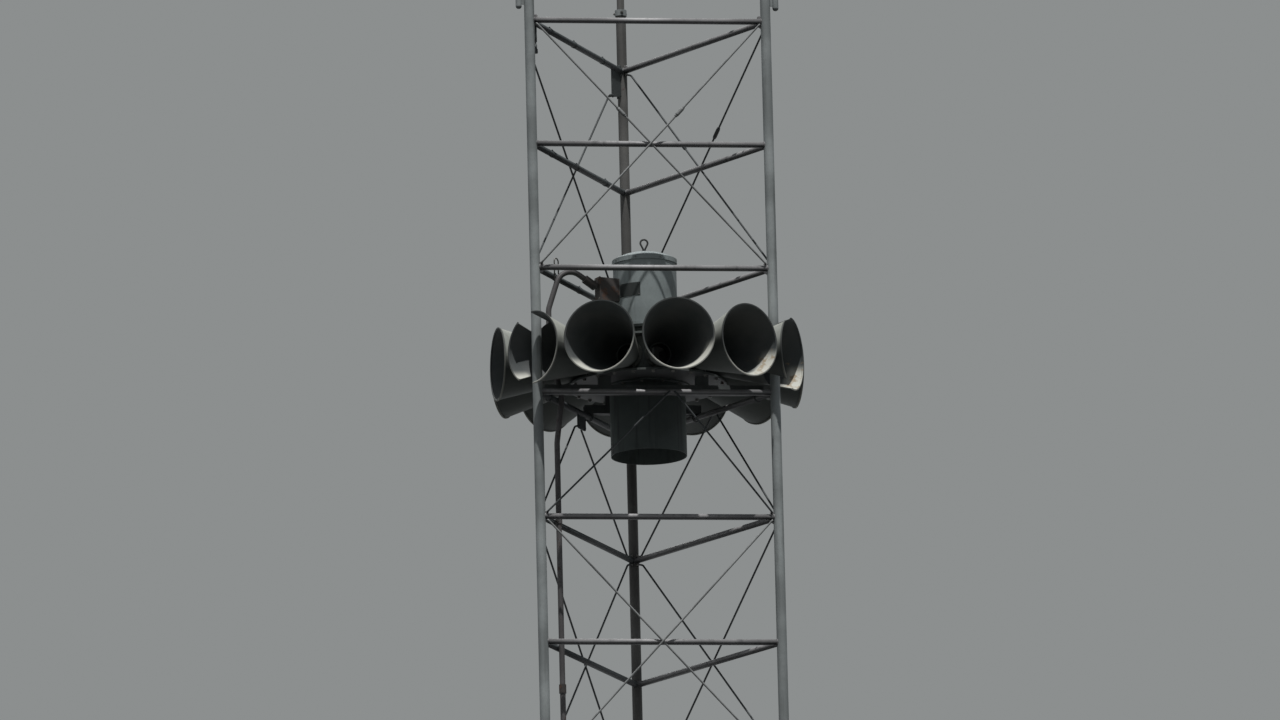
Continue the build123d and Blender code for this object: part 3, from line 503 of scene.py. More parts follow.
def horn_paint():
    """Chalky outside, painted shade below and inside, painted sunlight on the lower lip, and a rim painted
    lit below and shaded above.
    """
    finish = Finish("horn_paint")
    x, y, z = finish.parts
    step = 2 * pi / HORNS
    bearing = y.math("ARCTAN2", x)
    nearest = ((bearing - HORN_TURN) / step).math("ROUND") * step + HORN_TURN
    east, north = nearest.math("COSINE"), nearest.math("SINE")
    depth = x * east + y * north - STATOR
    aside = y * east - x * north
    height = z - horn_level
    reach = (aside * aside + height * height).math("SQRT")
    inside = (reach - depth * FLARE - THROAT).smooth(0.0016, 0.0009)
    clouds = finish.noise(5, detail=5)
    speckle = finish.noise(110, detail=3, shift=2.2)
    runs = finish.noise(30, detail=4, stretch=(1, 1, 0.12), shift=5.5)
    pits = finish.noise(24, detail=8, roughness=0.72, shift=9.1)
    outer = finish.blend(clouds.smooth(0.34, 0.68), CHALK, PALE_CHALK)
    outer = finish.blend(runs.smooth(0.52, 0.75) * 0.45, outer, WASHED)
    # painted shade: the outside turns near black from its middle down
    outer = finish.blend(finish.upward().smooth(0.32, -0.22) * 0.92, outer, UNDERSIDE_SHADE)
    # painted shade: the inside of each horn is dark, with faint clouds
    shaded_inside = finish.blend(clouds.smooth(0.3, 0.7), INNER_SHADE, PALER_INNER_SHADE)
    nearness = (depth - HORN_LENGTH) * (1 / HORN_LENGTH) + 1  # 1 at the mouth
    low = (height * -1 / (reach + 0.001)) + aside / (reach + 0.001) * 0.22  # 1 at the lower lip
    # painted sunlight: a pale patch on the lower lip inside each mouth, kept off the leftmost horn
    fringe = nearness + clouds * 0.10 + runs * 0.05
    westward = (x * x + y * y).math("SQRT") * -0.93 - x
    sunlit_lip = fringe.smooth(0.86, 0.95) * low.smooth(0.28, 0.62) * westward.smooth(0.02, -0.02)
    inner = finish.blend(sunlit_lip, shaded_inside, PAINTED_SUNLIGHT)
    right = bearing.smooth(-1.0, -0.75) * bearing.smooth(0.1, -0.1)
    worn = (pits + sunlit_lip * 0.12).smooth(0.60, 0.68) * right * nearness.smooth(0.55, 0.9)
    inner = finish.blend(worn * low.smooth(-0.1, 0.4) * 0.75, inner, WORN)
    colour = finish.blend(inside, outer, inner)
    rim = nearness.smooth(0.975, 0.99) * (1 - inside)
    # painted highlight on the lower rim, and painted shade on the upper rim
    colour = finish.blend(rim * low.smooth(0.1, 0.6) * 0.5, colour, RIM_LIT)
    colour = finish.blend(rim * low.smooth(0.35, -0.1) * 0.8, colour, RIM_SHADED)
    rust = (pits + clouds * 0.2 - 0.1).smooth(0.69, 0.75) * (1 - inside)
    colour = finish.blend(rust * 0.8, colour, RUST)
    finish.feed("Base Color", colour)
    finish.feed("Roughness", (0.62 + clouds * 0.12 + rust * 0.15).clamp())
    finish.bump(speckle * 0.4 + rust + pits * 0.3, 0.0008, 0.5)
    return finish


horn_finish = horn_paint()
print("horn finish has", len(horn_finish.tree.nodes), "nodes")

# %% [markdown]
# Every ready-made part keeps its own mesh and only takes a finish. The part's record already
# says which surfaces are of one kind, so the finishes go on by those names. Only the back leg is
# an exception: it is darker and browner than the two in front.

# %% Finishes on the ready-made parts
FINISHES = {
    "leg_metal": leg_paint, "foot_metal": foot_paint, "strut_metal": strut_paint, "rod_metal": rod_steel,
    "horn_paint": horn_finish, "head_metal": head_paint, "tube_metal": tube_paint,
    "rotor_metal": rotor_cast, "motor_paint": motor_paint, "eye_metal": eye_steel,
    "dark_plate": dark_plate, "box_metal": box_paint, "conduit_metal": conduit_zinc,
    "beam_metal": beam_paint,
}
for part in frame["record"]["subparts"]:
    thing = frame["nodes"][part["node"]]
    thing.data.materials.clear()
    finish = back_leg_paint if part["node"] == "back_leg" else FINISHES[part["material_slot"]]
    thing.data.materials.append(finish.material)
print(len(frame["nodes"]), "parts finished")

# %% [markdown]
# The struts are plain round tubes, cut to a saddle at each end so that they sit on the legs, and
# welded there. A ready tube could be cut with a Boolean, but the saddle is easy to work out: each
# point of the tube's rim stops where it meets the leg, or the tube of the next face.

# %% Strut tubes
TUBE_SIDES = 24
STRUT_WELD = 0.0024
WELD_INWARD = 0.001
WELD_SPREAD = 1.04


def saddle(out, leg):
    """How far from the leg's centre a point of a strut stops, given how far out it lies."""
    return max(sqrt((leg + SEAT) ** 2 - out**2), SEAT - out * sqrt(3))


def strut_tube(shape, height):
    """A strut with a bead of weld round each end."""
    leg = leg_radius(height)
    rim = [(STRUT * cos(a), STRUT * sin(a)) for a in turns(TUBE_SIDES)]
    loops = []
    for side in (-1, 1):
        loops.append([(side * (FACE / 2 - saddle(out, leg)), height + rise, out) for rise, out in rim])
    shape.loft(loops)
    for side, loop in zip((-1, 1), loops):
        bead = []
        for x, y, out in loop:
            bead.append((x - side * WELD_INWARD, height + (y - height) * WELD_SPREAD, out * WELD_SPREAD))
        shape.bead(bead, STRUT_WELD)


print("a strut is", round(FACE - 2 * saddle(0, LEG), 4), "long along its middle")

# %% [markdown]
# At every second level a small lug, welded on above and below each strut's end, takes the hooked
# ends of the rods. Its outline is a short list of corners, and a flat plate is all it needs.

# %% Lugs for the rods
LUG_CUT = 0.005
LUG_WELD = 0.0022


def lug(shape, side, height):
    """The plate that takes the rods' ends, with its outer corners cut off."""
    inner = side * (FACE / 2 - LEG - SEAT)
    outer = inner - side * LUG_LENGTH
    short = outer + side * LUG_CUT
    low, high = height - LUG_HEIGHT, height + LUG_HEIGHT
    outline = [
        (inner, low), (short, low), (outer, low + LUG_CUT),
        (outer, high - LUG_CUT), (short, high), (inner, high),
    ]
    shape.plate(outline[:: -side], LUG_HALF)
    for rise in (-1, 1):
        near, far = height + rise * STRUT, height + rise * LUG_HEIGHT
        for face in (-LUG_HALF, LUG_HALF):
            shape.weld((inner, near, face), (inner, far, face), LUG_WELD)


def takes_rods(number):
    """Whether rods end at a level."""
    return number % BAY == 0 and number <= COLLAR_LEVEL


print(sum(takes_rods(number) for number in range(len(levels))), "levels take rods")

# %% [markdown]
# In the left face a rounded plate hangs from the siren's strut and takes the rods of the bay
# below. Its lower corners are quarter circles of a few points each. The struts of that face look
# darker than the others, so they get a paint of their own.

# %% The hanging plate, and all the struts
HANGER_SHIFT = 0.041  # along the face, from its middle
HANGER_SPREAD = 0.036  # from the plate's middle to each rod
HANGER_DROP = 0.068  # from the strut down to the rods
HANGER_EDGE = 0.012
CORNER_STEPS = 4


def hanger(shape):
    """The rounded plate under the siren's strut."""
    low = levels[SIREN_STRUT] - HANGER_DROP
    half = HANGER_SPREAD + HANGER_EDGE
    outline = [(HANGER_SHIFT + side * half, levels[SIREN_STRUT]) for side in (1, -1)]
    for side, start in ((-1, pi), (1, 1.5 * pi)):
        x = HANGER_SHIFT + side * HANGER_SPREAD
        for step in range(CORNER_STEPS + 1):
            angle = start + pi / 2 * step / CORNER_STEPS
            outline.append((x + HANGER_EDGE * cos(angle), low + HANGER_EDGE * sin(angle)))
    shape.plate(outline, LUG_HALF)


for name in FACES:
    struts = Shape(face_frames[name])
    for number, height in enumerate(levels):
        strut_tube(struts, height)
        if takes_rods(number):
            for side in (-1, 1):
                lug(struts, side, height)
    if name == "left":
        hanger(struts)
    paint = shaded_paint if name == "left" else strut_paint
    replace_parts(struts.piece(f"{name}_strut_tubes", paint.material, "strut_metal"), f"{name}_struts")

# %% [markdown]
# The rods are hooked: each end turns in through its lug. A long bar with a bend at each end is
# one tube swept along a path of points, with the bend itself an arc.

# %% Rods with hooked ends
HOOK_BEND = 0.008
HOOK_STEPS = 6
BEHIND_LUG = 0.007
ROD_SIDES = 12


def hook(spot, run, out, depth, bend):
    """The points of a rod's end that turns inwards at a spot of the face, from its tip outwards."""
    spot = Vector((*spot, 0))
    points = [spot + Vector((0, 0, depth))]
    for step in range(HOOK_STEPS + 1):
        angle = pi / 2 * step / HOOK_STEPS
        aside = run * bend * (1 - cos(angle))
        points.append(spot + aside + Vector((0, 0, out - bend + bend * sin(angle))))
    return points


def rod_between(shape, high, low, out, depth=-BEHIND_LUG, bend=HOOK_BEND):
    """A rod from one hooked end to the other. Depth and bend are those of the upper hook."""
    run = (Vector((*low, 0)) - Vector((*high, 0))).normalized()
    upper = hook(high, run, out, depth, bend)
    lower = hook(low, -run, out, -BEHIND_LUG, HOOK_BEND)
    shape.along(upper + lower[::-1], ROD, ROD_SIDES)


print("hooks turn in on a radius of", HOOK_BEND)

# %% [markdown]
# In the highest bay, the rods that slope across the front and the right face are joined by long
# threaded bodies with a lock nut at each end. A body is turned, so a short list of places along
# the rod, each with a radius, says all about it.

# %% Threaded couplers
COUPLER_PLACE = 0.37  # as a share of the rod, from its upper end
COUPLER_SIDES = 20
COUPLER_PROFILE = (
    (-0.023, 0.0072), (-0.022, 0.0092), (-0.016, 0.0094),
    (0.016, 0.0094), (0.022, 0.0092), (0.023, 0.0072),
)
LOCK_NUT, LOCK_NUT_TALL, LOCK_NUT_END = 0.0085, 0.006, 0.029


def coupler(shape, high, low, out):
    """A threaded body on a rod, with a lock nut against each end."""
    high, low = Vector((*high, out)), Vector((*low, out))
    run = (low - high).normalized()
    centre = high.lerp(low, COUPLER_PLACE)
    side, up = across(run)
    loops = []
    for along, radius in COUPLER_PROFILE:
        spot = centre + run * along
        loops.append([spot + radius * (side * cos(a) + up * sin(a)) for a in turns(COUPLER_SIDES)])
    shape.loft(loops)
    for end in (-1, 1):
        start = centre + run * end * LOCK_NUT_END
        shape.rod(start, start - run * end * LOCK_NUT_TALL, LOCK_NUT, 6, rounded=False)


print("a coupler is", 2 * LOCK_NUT_END, "long with its nuts")

# %% [markdown]
# One of each crossed pair lies a rod's thickness further out. In the left face the highest pair
# ends lower than elsewhere, in a plate and a link that are made below. In the siren's bay the
# rods fill only the lower half, up to the hanging plate or to the strut itself. The crossed rods
# of the front face have kept their zinc, and all the others are nearly black; on the front face,
# the dark steel of the siren's bay rods is painted shade, for the shade of the head.

# %% The rods of each face
ROD_INSET = LEG + SEAT + STUD_INSET
LINK_INSET, LINK_ROD_DROP = 0.072, 0.139
PLATE_HOOK_INSET, PLATE_HOOK_DROP = 0.127, 0.1448
STRUT_HOOK_DEPTH, STRUT_HOOK_BEND = 0.010, 0.006
SIREN_RODS = {  # the pair's shift along the face, its half spread, and its drop from the strut
    "front": (0.073, 0.012, 0.0),
    "left": (HANGER_SHIFT, HANGER_SPREAD, HANGER_DROP),
    "right": (-0.068, 0.012, 0.0),
}


def crossed_pair(shape, name, number):
    """Two rods that cross a bay, from lug to lug."""
    low, high = levels[number] + STUD_RISE, levels[number + BAY]
    highest = number + BAY == COLLAR_LEVEL
    for side, out in ((-1, ROD_OUT), (1, OUTER_ROD_OUT)):
        inset, drop = ROD_INSET, STUD_RISE
        if highest and name == "left":
            inset, drop = (PLATE_HOOK_INSET, PLATE_HOOK_DROP) if side < 0 else (LINK_INSET, LINK_ROD_DROP)
        start = (side * (FACE / 2 - inset), high - drop)
        end = (-side * (FACE / 2 - ROD_INSET), low)
        rod_between(shape, start, end, out)
        if highest and name != "left":
            coupler(shape, start, end, out)


def siren_pair(shape, name):
    """Two rods that spread downwards from the middle of the siren's strut."""
    shift, spread, drop = SIREN_RODS[name]
    low = levels[SIREN_STRUT - 1] + STUD_RISE
    for side in (-1, 1):
        start = (shift + side * spread, levels[SIREN_STRUT] - drop)
        end = (side * (FACE / 2 - ROD_INSET), low)
        if drop > 0:
            rod_between(shape, start, end, ROD_OUT)
        else:
            rod_between(shape, start, end, ROD_OUT, STRUT_HOOK_DEPTH, STRUT_HOOK_BEND)


for name in FACES:
    rods, low_rods = Shape(face_frames[name]), Shape(face_frames[name])
    for number in range(0, COLLAR_LEVEL, BAY):
        if number == SIREN_STRUT - 1:
            siren_pair(low_rods, name)
        else:
            crossed_pair(rods, name, number)
    finish = rod_zinc if name == "front" else rod_steel
    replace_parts(rods.piece(f"{name}_rod_bars", finish.material, "rod_metal"), f"{name}_rods")
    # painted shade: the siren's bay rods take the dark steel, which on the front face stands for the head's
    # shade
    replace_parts(low_rods.piece(f"{name}_siren_rod_bars", rod_steel.material, "rod_metal"), f"{name}_rods")

# %% [markdown]
# In the left face one of the highest rods ends in a deep plate beside the back leg, the other in
# a link that hangs beside the left leg. Both are dark and heavy. The plate is bolted up, with a
# ring round the rod's hook. The link is turned in a few steps, with a thin neck and a nut below.

# %% The deep plate and the link
PLATE_WIDE, PLATE_TALL = 0.110, 0.127
PLATE_SLOPE, PLATE_CORNER, PLATE_EDGE = 0.026, 0.006, 0.001
PLATE_BOLT_INSET, PLATE_BOLT_DROPS = 0.018, (0.03, 0.07, 0.11)
RING, RING_WIRE, HOOK_NUT = 0.0085, 0.003, 0.008
fittings = Shape(face_frames["left"])
near = LEG + SEAT - FACE / 2
far = near + PLATE_WIDE
past_lug = near + LUG_LENGTH + 0.001
plate_top = levels[COLLAR_LEVEL] - LUG_HEIGHT - SEAT
plate_low = plate_top - PLATE_TALL
under_strut = levels[COLLAR_LEVEL] - STRUT - SEAT
outline = [
    (near, plate_low + PLATE_SLOPE), (far - PLATE_CORNER, plate_low), (far, plate_low + PLATE_CORNER),
    (far, under_strut), (past_lug, under_strut), (past_lug, plate_top), (near, plate_top),
]
fittings.plate(outline, LUG_HALF, PLATE_EDGE)
hook_spot = (PLATE_HOOK_INSET - FACE / 2, levels[COLLAR_LEVEL] - PLATE_HOOK_DROP)
fittings.hoop((*hook_spot, 0), (0, 0, 1), RING, RING_WIRE, 16, 6)
fittings.rod((*hook_spot, LUG_HALF), (*hook_spot, ROD_OUT - ROD), HOOK_NUT, 6, rounded=False)
for drop in PLATE_BOLT_DROPS:
    fittings.bolt((near + PLATE_BOLT_INSET, plate_top - drop, LUG_HALF), (0, 0, 1), 0.004)

LINK, LINK_NECK, LINK_NECK_DROP = 0.0065, 0.0035, 0.080
LINK_LENGTH, LINK_NUT = 0.150, 0.022
link_x = FACE / 2 - LINK_INSET
link_low = levels[COLLAR_LEVEL] - LINK_LENGTH
neck = under_strut - LINK_NECK_DROP
nut_top = link_low + LINK_NUT
steps = (
    (under_strut, LINK), (neck + 0.002, LINK), (neck, LINK_NECK), (neck - 0.010, LINK_NECK),
    (neck - 0.012, LINK), (nut_top, LINK), (nut_top - 0.001, 0.0095),
    (link_low + 0.002, 0.0098), (link_low, 0.008),
)
fittings.loft([[(link_x + r * cos(a), y, -r * sin(a)) for a in turns(12)] for y, r in steps[::-1]])
pin = (link_x, link_low + LINK_NUT / 2)
fittings.rod((*pin, 0.004), (*pin, OUTER_ROD_OUT - ROD), 0.006, 6)
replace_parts(fittings.piece("plate_and_link", fitting_steel.material, "strut_metal"), "brace_fittings")

# %% [markdown]
# A lattice is held by many small things. They are too small to carry the shape, but they catch
# the light. Behind each lug, a washer and a nut hold every rod that comes through.

# %% Nuts behind the lugs
NUT, NUT_END, NUT_TOP = 0.0078, 0.0074, 0.0060
NUT_WASHER, NUT_WASHER_TALL = 0.0085, 0.0012


def rod_sides(name, number):
    """Where rods end at a level's lugs: below the strut, -1, and above it, 1."""
    if number == COLLAR_LEVEL:
        return () if name == "left" else (-1,)
    return (1,) if number in (0, SIREN_STRUT + 1) else (-1, 1)


for name in FACES:
    nuts = Shape(face_frames[name])
    for number in range(0, COLLAR_LEVEL + 1, BAY):
        for side in (-1, 1):
            for rise in rod_sides(name, number):
                spot = (side * (FACE / 2 - ROD_INSET), levels[number] + rise * STUD_RISE)
                base, tip = (*spot, -LUG_HALF - NUT_WASHER_TALL), (*spot, -LUG_HALF - NUT_TOP)
                nuts.washer((*spot, -LUG_HALF), (0, 0, -1), NUT_WASHER, NUT_WASHER_TALL, 12)
                nuts.rod(base, tip, NUT, 6, NUT_END, rounded=False, spin=number)
    nuts.piece(f"{name}_rod_nuts", hardware.material, "rod_metal")

# %% [markdown]
# Three of the left face's struts carry small clips: two thin bands with a low bar and a screw on
# top. They share the strut's dark paint.

# %% Clips on the left face
CLIP_PLACES = (0.22, 0.48, 0.79)  # as shares of the face, from the left leg
CLIP_BAND, CLIP_STEP, CLIP_PROUD = 0.0012, 0.010, 0.0008
CLIP_BAR, CLIP_BAR_PAST, CLIP_SCREW = 0.0042, 0.003, 0.0024
clips = Shape(face_frames["left"])
for number in (SIREN_STRUT + 1, SIREN_STRUT + 2, COLLAR_LEVEL):
    for place in CLIP_PLACES:
        x = FACE / 2 - place * FACE
        top = levels[number] + STRUT
        for shift in (0, CLIP_STEP):
            clips.hoop((x + shift, levels[number], 0), (1, 0, 0), STRUT + CLIP_PROUD, CLIP_BAND, 20, 6)
        clips.rod((x - CLIP_BAR_PAST, top, 0), (x + CLIP_STEP + CLIP_BAR_PAST, top, 0), CLIP_BAR, 8)
        clips.bolt((x + CLIP_STEP / 2, top + 0.003, 0), (0, 1, 0), CLIP_SCREW)
clips.piece("left_face_clips", shaded_paint.material, "strut_metal")

# %% [markdown]
# The legs come in lengths that are joined on site. Set screws hold the collars, bolts go through
# the sleeves, and each foot plate has a weld round the leg and four anchor bolts. All of it is
# placed by angles round each leg, so one helper gives the direction at an angle.

# %% Hardware of the legs
COLLAR_SCREW_RISE, COLLAR_SIDE = 0.015, 0.0285
SLEEVE_HALF, SLEEVE_BOLT_RISE, SLEEVE_SIDE = 0.151, 0.09, LEG + SEAT + 0.004
SLEEVE_WELD, FOOT_WELD = 0.0026, 0.0035
FOOT_TOP, ANCHOR_SPREAD, ANCHOR = 0.016, 0.059, 0.008
collar = levels[COLLAR_LEVEL] + COLLAR_RISE
sleeve = levels[SLEEVE_LEVEL] + SLEEVE_RISE


def around(angle):
    """The level direction at an angle round an upright axis."""
    return Vector((cos(angle), sin(angle), 0))


def weld_ring(shape, leg, height, radius, size):
    """A bead of weld round a leg."""
    shape.bead([Vector((*leg, height)) + around(a) * radius for a in turns(36)], size)


joints = Shape()
for leg in legs.values():
    for angle in turns(3, 0.6):
        seat = Vector((*leg, collar + COLLAR_SCREW_RISE)) + around(angle) * COLLAR_SIDE
        joints.bolt(seat, around(angle), 0.0035, 0.8)
    for rise in (-SLEEVE_HALF, SLEEVE_HALF):
        weld_ring(joints, leg, sleeve + rise, LEG + 0.0018, SLEEVE_WELD)
    for rise in (-SLEEVE_BOLT_RISE, SLEEVE_BOLT_RISE):
        for way in (-1, 1):
            out = around(0.9) * way
            joints.bolt(Vector((*leg, sleeve + rise)) + out * SLEEVE_SIDE, out, 0.005)
    for x, y in ((-1, -1), (-1, 1), (1, -1), (1, 1)):
        seat = Vector((leg[0] + x * ANCHOR_SPREAD, leg[1] + y * ANCHOR_SPREAD, FOOT_TOP))
        joints.bolt(seat, (0, 0, 1), ANCHOR, 1.2)
    weld_ring(joints, leg, FOOT_TOP + 0.0015, LEG + 0.0058, FOOT_WELD)
joints.piece("leg_hardware", hardware.material, "leg_metal")

# %% [markdown]
# The head is bolted together from plates, rings and castings. Rows of bolt heads and nuts on
# their flanges say at once how it was made, and cost little when each row is one loop.

# %% Rows of bolts on the head
UP, DOWN = Vector((0, 0, 1)), Vector((0, 0, -1))
RING_BOLTS, TUBE_BOLTS, PEDESTAL_BOLTS, MOTOR_BOLTS = 0.366, 0.194, 0.148, 0.161  # radii of the rows
PEDESTAL_FLANGE, MOTOR_FLANGE, TUBE_FLANGE = 0.012, 0.014, 0.008  # thicknesses


def top_of(node):
    """The height of a ready-made part's top."""
    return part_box(node)[1].z


def low_of(node):
    """The height of a ready-made part's underside."""
    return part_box(node)[0].z


def circle_of_bolts(shape, count, radius, height, axis, size, first):
    """A row of bolts round the tower's axis."""
    for angle in turns(count, first):
        shape.bolt(around(angle) * radius + UP * height, axis, size)


bolts = Shape()
between = HORN_TURN + pi / 24
circle_of_bolts(bolts, 24, RING_BOLTS, top_of("top_plate"), UP, 0.005, between)
circle_of_bolts(bolts, 24, RING_BOLTS, low_of("bottom_plate"), DOWN, 0.005, between)
circle_of_bolts(bolts, 12, TUBE_BOLTS, low_of("bottom_plate") - TUBE_FLANGE, DOWN, 0.004, pi / 12)
circle_of_bolts(bolts, 12, PEDESTAL_BOLTS, low_of("motor_pedestal") + PEDESTAL_FLANGE, UP, 0.005, pi / 12)
circle_of_bolts(bolts, 6, MOTOR_BOLTS, low_of("motor_body") + MOTOR_FLANGE, UP, 0.0045, pi / 6)
bolts.piece("head_bolts", hardware.material, "head_metal")

# %% [markdown]
# Each horn's throat has a flange with eight small bolts against the ring. A horn has its own
# directions, outwards along its axis and aside, and the bolts go round in those.

# %% Bolts of the throats
THROAT_FLANGE, THROAT_BOLTS, THROAT_BOLT = 0.008, 0.0665, 0.0028
throat = Shape()
for direction in turns(HORNS, HORN_TURN):
    out, aside = around(direction), around(direction + pi / 2)
    seat = out * (STATOR + THROAT_FLANGE) + UP * horn_level
    for angle in turns(8, pi / 8):
        throat.bolt(seat + (aside * cos(angle) + UP * sin(angle)) * THROAT_BOLTS, out, THROAT_BOLT)
throat.piece("throat_bolts", hardware.material, "head_metal")

# %% [markdown]
# Each horn's mouth is stiffened by an edge rolled over a wire. The round bead is thin, but it
# outlines every mouth, so it is worth its own piece. On the three horns that a leg passes
# through, the bead stops at the slot: two angles give the slot's sides where they meet the rim.

# %% Rolled edges of the mouths
BEAD, BEAD_DEPTH, BEAD_RADIUS = 0.0045, 0.4288, 0.1726
SLOT_SIDE, SLOT_HALF = -0.0541, 0.049
RIM_SIDES, WIRE_SIDES = 64, 8
near, far = (atan2(sqrt(BEAD_RADIUS**2 - s**2), s) for s in (SLOT_SIDE + SLOT_HALF, SLOT_SIDE - SLOT_HALF))
beads = Shape()
for number, direction in enumerate(turns(HORNS, pi / 2 + HORN_TURN)):
    out, aside = around(direction), around(direction + pi / 2)
    centre = out * (STATOR + BEAD_DEPTH) + UP * horn_level
    slotted = number % 4 == 0
    for start, end in ((-near, near), (far, 2 * pi - far)) if slotted else ((0, 2 * pi),):
        beads.hoop(centre, out, BEAD_RADIUS, BEAD, RIM_SIDES, WIRE_SIDES, start, end - start, aside)
beads.piece("mouth_beads", horn_finish.material, "horn_paint")

# %% [markdown]
# Small round heads hold the motor's cap by its skirt, and four rivets hold the plain plate on its
# side. Both sit on round walls, so each head points outwards at its own angle.

# %% Screws of the cap and rivets of the plate
MOTOR, CAP_RIM, CAP_SCREW_RISE = 0.1525, 0.1565, 0.011
cap_screws = Shape()
for angle in turns(8, radians(22)):
    spot = around(angle) * CAP_RIM + UP * (low_of("motor_cap") + CAP_SCREW_RISE)
    cap_screws.rod(spot, spot + around(angle) * 0.0022, 0.0042, 12, 0.0032)
cap_screws.piece("cap_screws", hardware.material, "motor_paint")

PLATE_AT, PLATE_DROP = radians(232.5), 0.127
PLATE_HALF_TALL, PLATE_HALF_WIDE, RIVET_INSET, PLATE_PROUD = 0.032, 0.057, 0.006, 0.0018
plate_middle = top_of("motor_body") - PLATE_DROP - PLATE_HALF_TALL
rivets = Shape()
for side in (-1, 1):
    for rise in (-1, 1):
        out = around(PLATE_AT + side * (PLATE_HALF_WIDE - RIVET_INSET) / MOTOR)
        height = plate_middle + rise * (PLATE_HALF_TALL - RIVET_INSET)
        spot = out * (MOTOR + PLATE_PROUD) + UP * height
        rivets.rod(spot, spot + out * 0.0015, 0.0028, 10, 0.002)
rivets.piece("nameplate_rivets", hardware.material, "dark_plate")

# %% [markdown]
# The wiring box stands in the gap between two horns, and four screws close its lid. The lid faces
# outwards, so the screws are placed in from its corners along two directions.

# %% Screws of the wiring box
GAP = radians(199.7)
BOX_REACH, BOX_DROP, BOX_HALF_TALL, BOX_HALF_WIDE = 0.2568, 0.095, 0.056, 0.025
box_out, box_aside = around(GAP), around(GAP + pi / 2)
box_middle = box_out * BOX_REACH + UP * (top_of("motor_body") - BOX_DROP - BOX_HALF_TALL)
box_screws = Shape()
for side in (-0.8, 0.8):
    for rise in (-0.88, 0.88):
        spot = box_middle + box_aside * side * BOX_HALF_WIDE + UP * rise * BOX_HALF_TALL
        box_screws.bolt(spot, box_out, 0.0022)
box_screws.piece("box_screws", hardware.material, "box_metal")

# %% [markdown]
# The conduit climbs beside the left leg, held to every second strut by a strap with a screw at
# each side. Where it crosses the strut above the horns, a narrow loop stands up over it: the bow
# of a clamp.

# %% Conduit straps and clamp
STRAP_OUT = 0.01665
riser = middle("conduit_straps").to_2d()
face_out = face_frames["left"].col[2].to_2d()
strap_screws = Shape()
for number in range(0, SIREN_STRUT, BAY):
    for way in (-1, 1):
        out = Vector((-face_out.y, face_out.x, 0)) * way
        strap_screws.bolt(Vector((*riser, levels[number])) + out * STRAP_OUT, out, 0.003, 1.0)
strap_screws.piece("strap_screws", hardware.material, "conduit_metal")

BOW_HALF, BOW_WIRE, BOW_RISE, BOW_FOOT, BOW_RADIUS = 0.0165, 0.0033, 0.085, 0.02, 0.475
BOW_STEPS = 8
crossing = box_out * BOW_RADIUS + UP * levels[SIREN_STRUT + 1]
bow_side = around(radians(318) + pi / 2) * BOW_HALF
points = [crossing + bow_side - UP * BOW_FOOT]
for step in range(BOW_STEPS + 1):
    angle = pi * step / BOW_STEPS
    points.append(crossing + bow_side * cos(angle) + UP * (BOW_RISE - BOW_HALF + BOW_HALF * sin(angle)))
points.append(crossing - bow_side - UP * BOW_FOOT)
bow = Shape()
bow.along(points, BOW_WIRE, 10)
bow.piece("conduit_bow", hardware.material, "conduit_metal")

# %% [markdown]
# The camera stands far off, well below the head, and looks up at it with a long lens. Its place
# comes from the directions of the legs and the steps between struts in the photograph. The view
# leans a little, because the picture was taken slightly off level.

# %% Camera
AZIMUTH = radians(-7.47)
ELEVATION = radians(-13.2)
LEAN = radians(-1.39)
DISTANCE = 70.0
PICTURE = (1280, 720)
FOCAL = 14590  # pixels
HEAD_AT = (647, 368)  # where the middle of the ring of horns falls

back = Vector((sin(AZIMUTH) * cos(ELEVATION), -cos(AZIMUTH) * cos(ELEVATION), sin(ELEVATION)))
level_right = around(AZIMUTH)
level_up = back.cross(level_right)
right = level_right * cos(LEAN) + level_up * sin(LEAN)
up = level_up * cos(LEAN) - level_right * sin(LEAN)
aside = (HEAD_AT[0] - PICTURE[0] / 2) * DISTANCE / FOCAL
below = (HEAD_AT[1] - PICTURE[1] / 2) * DISTANCE / FOCAL
spot = UP * horn_level + back * DISTANCE - right * aside + up * below
lens = bpy.data.cameras.new("long_lens")
lens.sensor_width = 36.0
lens.lens = FOCAL / PICTURE[0] * lens.sensor_width
lens.clip_end = 500
camera = bpy.data.objects.new("camera", lens)
camera.matrix_world = Matrix.Translation(spot) @ Matrix((right, up, back)).transposed().to_4x4()
bpy.context.scene.collection.objects.link(camera)
bpy.context.scene.camera = camera
print("camera at", [round(v, 2) for v in spot], "lens", round(lens.lens, 1), "mm")

# %% [markdown]
# One strong narrow lamp, high above the front, draws the crisp shadows and the lit tops and lips; the pale
# patches inside the lower lips are painted sunlight as well.
# Two weak wide ones, from the left and from behind, open the shade. Lamps of the sun kind suit a
# tall tower, because they light its head and its feet alike.

# %% Lamps
def lamp(name, toward, strength, spread):
    """A far lamp that shines from a direction, given as degrees round and degrees up."""
    light = bpy.data.lights.new(name, "SUN")
    light.energy = strength
    light.angle = radians(spread)
    holder = bpy.data.objects.new(name, light)
    turn, rise = radians(toward[0]), radians(toward[1])
    direction = around(turn) * cos(rise) + UP * sin(rise)
    holder.matrix_world = direction.to_track_quat("Z", "Y").to_matrix().to_4x4()
    bpy.context.scene.collection.objects.link(holder)


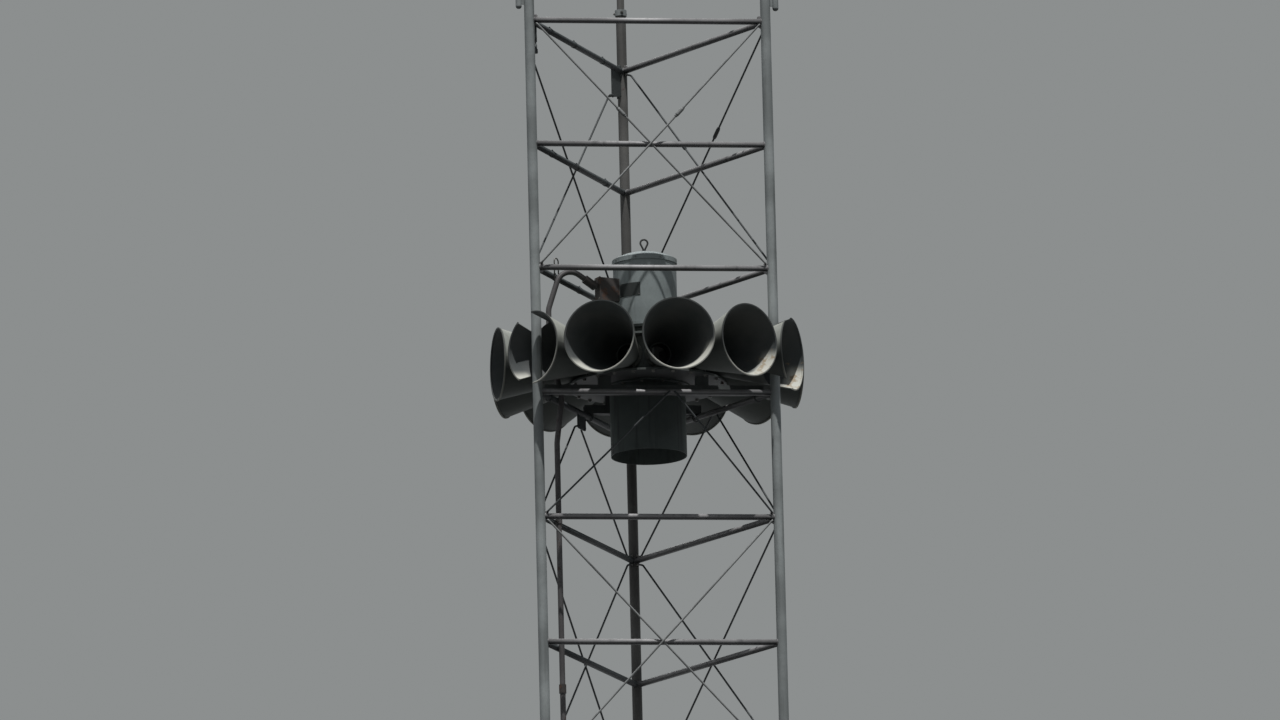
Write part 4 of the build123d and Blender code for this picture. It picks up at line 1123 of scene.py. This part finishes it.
lamp("high_key", (273, 70.5), 3.5, 0.8)
lamp("left_fill", (205, 30), 0.12, 40)
lamp("behind", (100, 40), 0.45, 40)
print(len(bpy.data.lights), "lamps")

# %% [markdown]
# An even surround, pale above and dark below, does the rest of the lighting. The camera sees it
# as one plain grey. Light Path tells the two kinds of ray apart.

# %% Surround
SKYWARD, GROUNDWARD = (0.27, 0.29, 0.315), (0.035, 0.037, 0.04)
BACKDROP = (0.262, 0.274, 0.274)
surround = bpy.data.worlds.new("surround")
bpy.context.scene.world = surround
surround.use_nodes = True
world = Nodes(surround.node_tree)
toward = world.node("ShaderNodeTexCoord", {}, {}, "Generated")
rise = world.node("ShaderNodeSeparateXYZ", {}, {0: toward}, 2)
plain = world.blend(rise.smooth(-0.15, 0.55), GROUNDWARD, SKYWARD)
shade = world.blend(world.seen(), plain, BACKDROP)
world.plug(surround.node_tree.nodes["Background"].inputs["Color"], shade)
bpy.context.scene.view_settings.view_transform = "Standard"
print("the surround has", len(world.tree.nodes), "nodes")

# %% [markdown]
# The floor is a pale disc, just below the feet. It is darker to the rays that carry light back
# up, because a pale floor this large would brighten every underside of the head. The camera
# stands beyond its edge and below it, so the disc stays small enough to be out of that view.

# %% Floor
FLOOR_RADIUS, FLOOR_THICK, FLOOR_SIDES = 40, 0.02, 96
FLOOR_PALE, FLOOR_PALER, FLOOR_BACK = (0.50, 0.51, 0.51), (0.55, 0.56, 0.56), (0.07, 0.072, 0.07)
floor_shape = Shape()
floor_shape.rod((0, 0, -FLOOR_THICK), (0, 0, -SEAT), FLOOR_RADIUS, FLOOR_SIDES, rounded=False)
floor_mesh = bpy.data.meshes.new("floor")
floor_mesh.from_pydata(floor_shape.points, [], floor_shape.faces)
floor = bpy.data.objects.new("floor", floor_mesh)
bpy.context.scene.collection.objects.link(floor)
floor_finish = Finish("pale_floor", roughness=0.9)
pale = floor_finish.blend(floor_finish.noise(0.6), FLOOR_PALE, FLOOR_PALER)
floor_finish.feed("Base Color", floor_finish.blend(floor_finish.seen(), FLOOR_BACK, pale))
floor_mesh.materials.append(floor_finish.material)
print("a floor", 2 * FLOOR_RADIUS, "metres across")
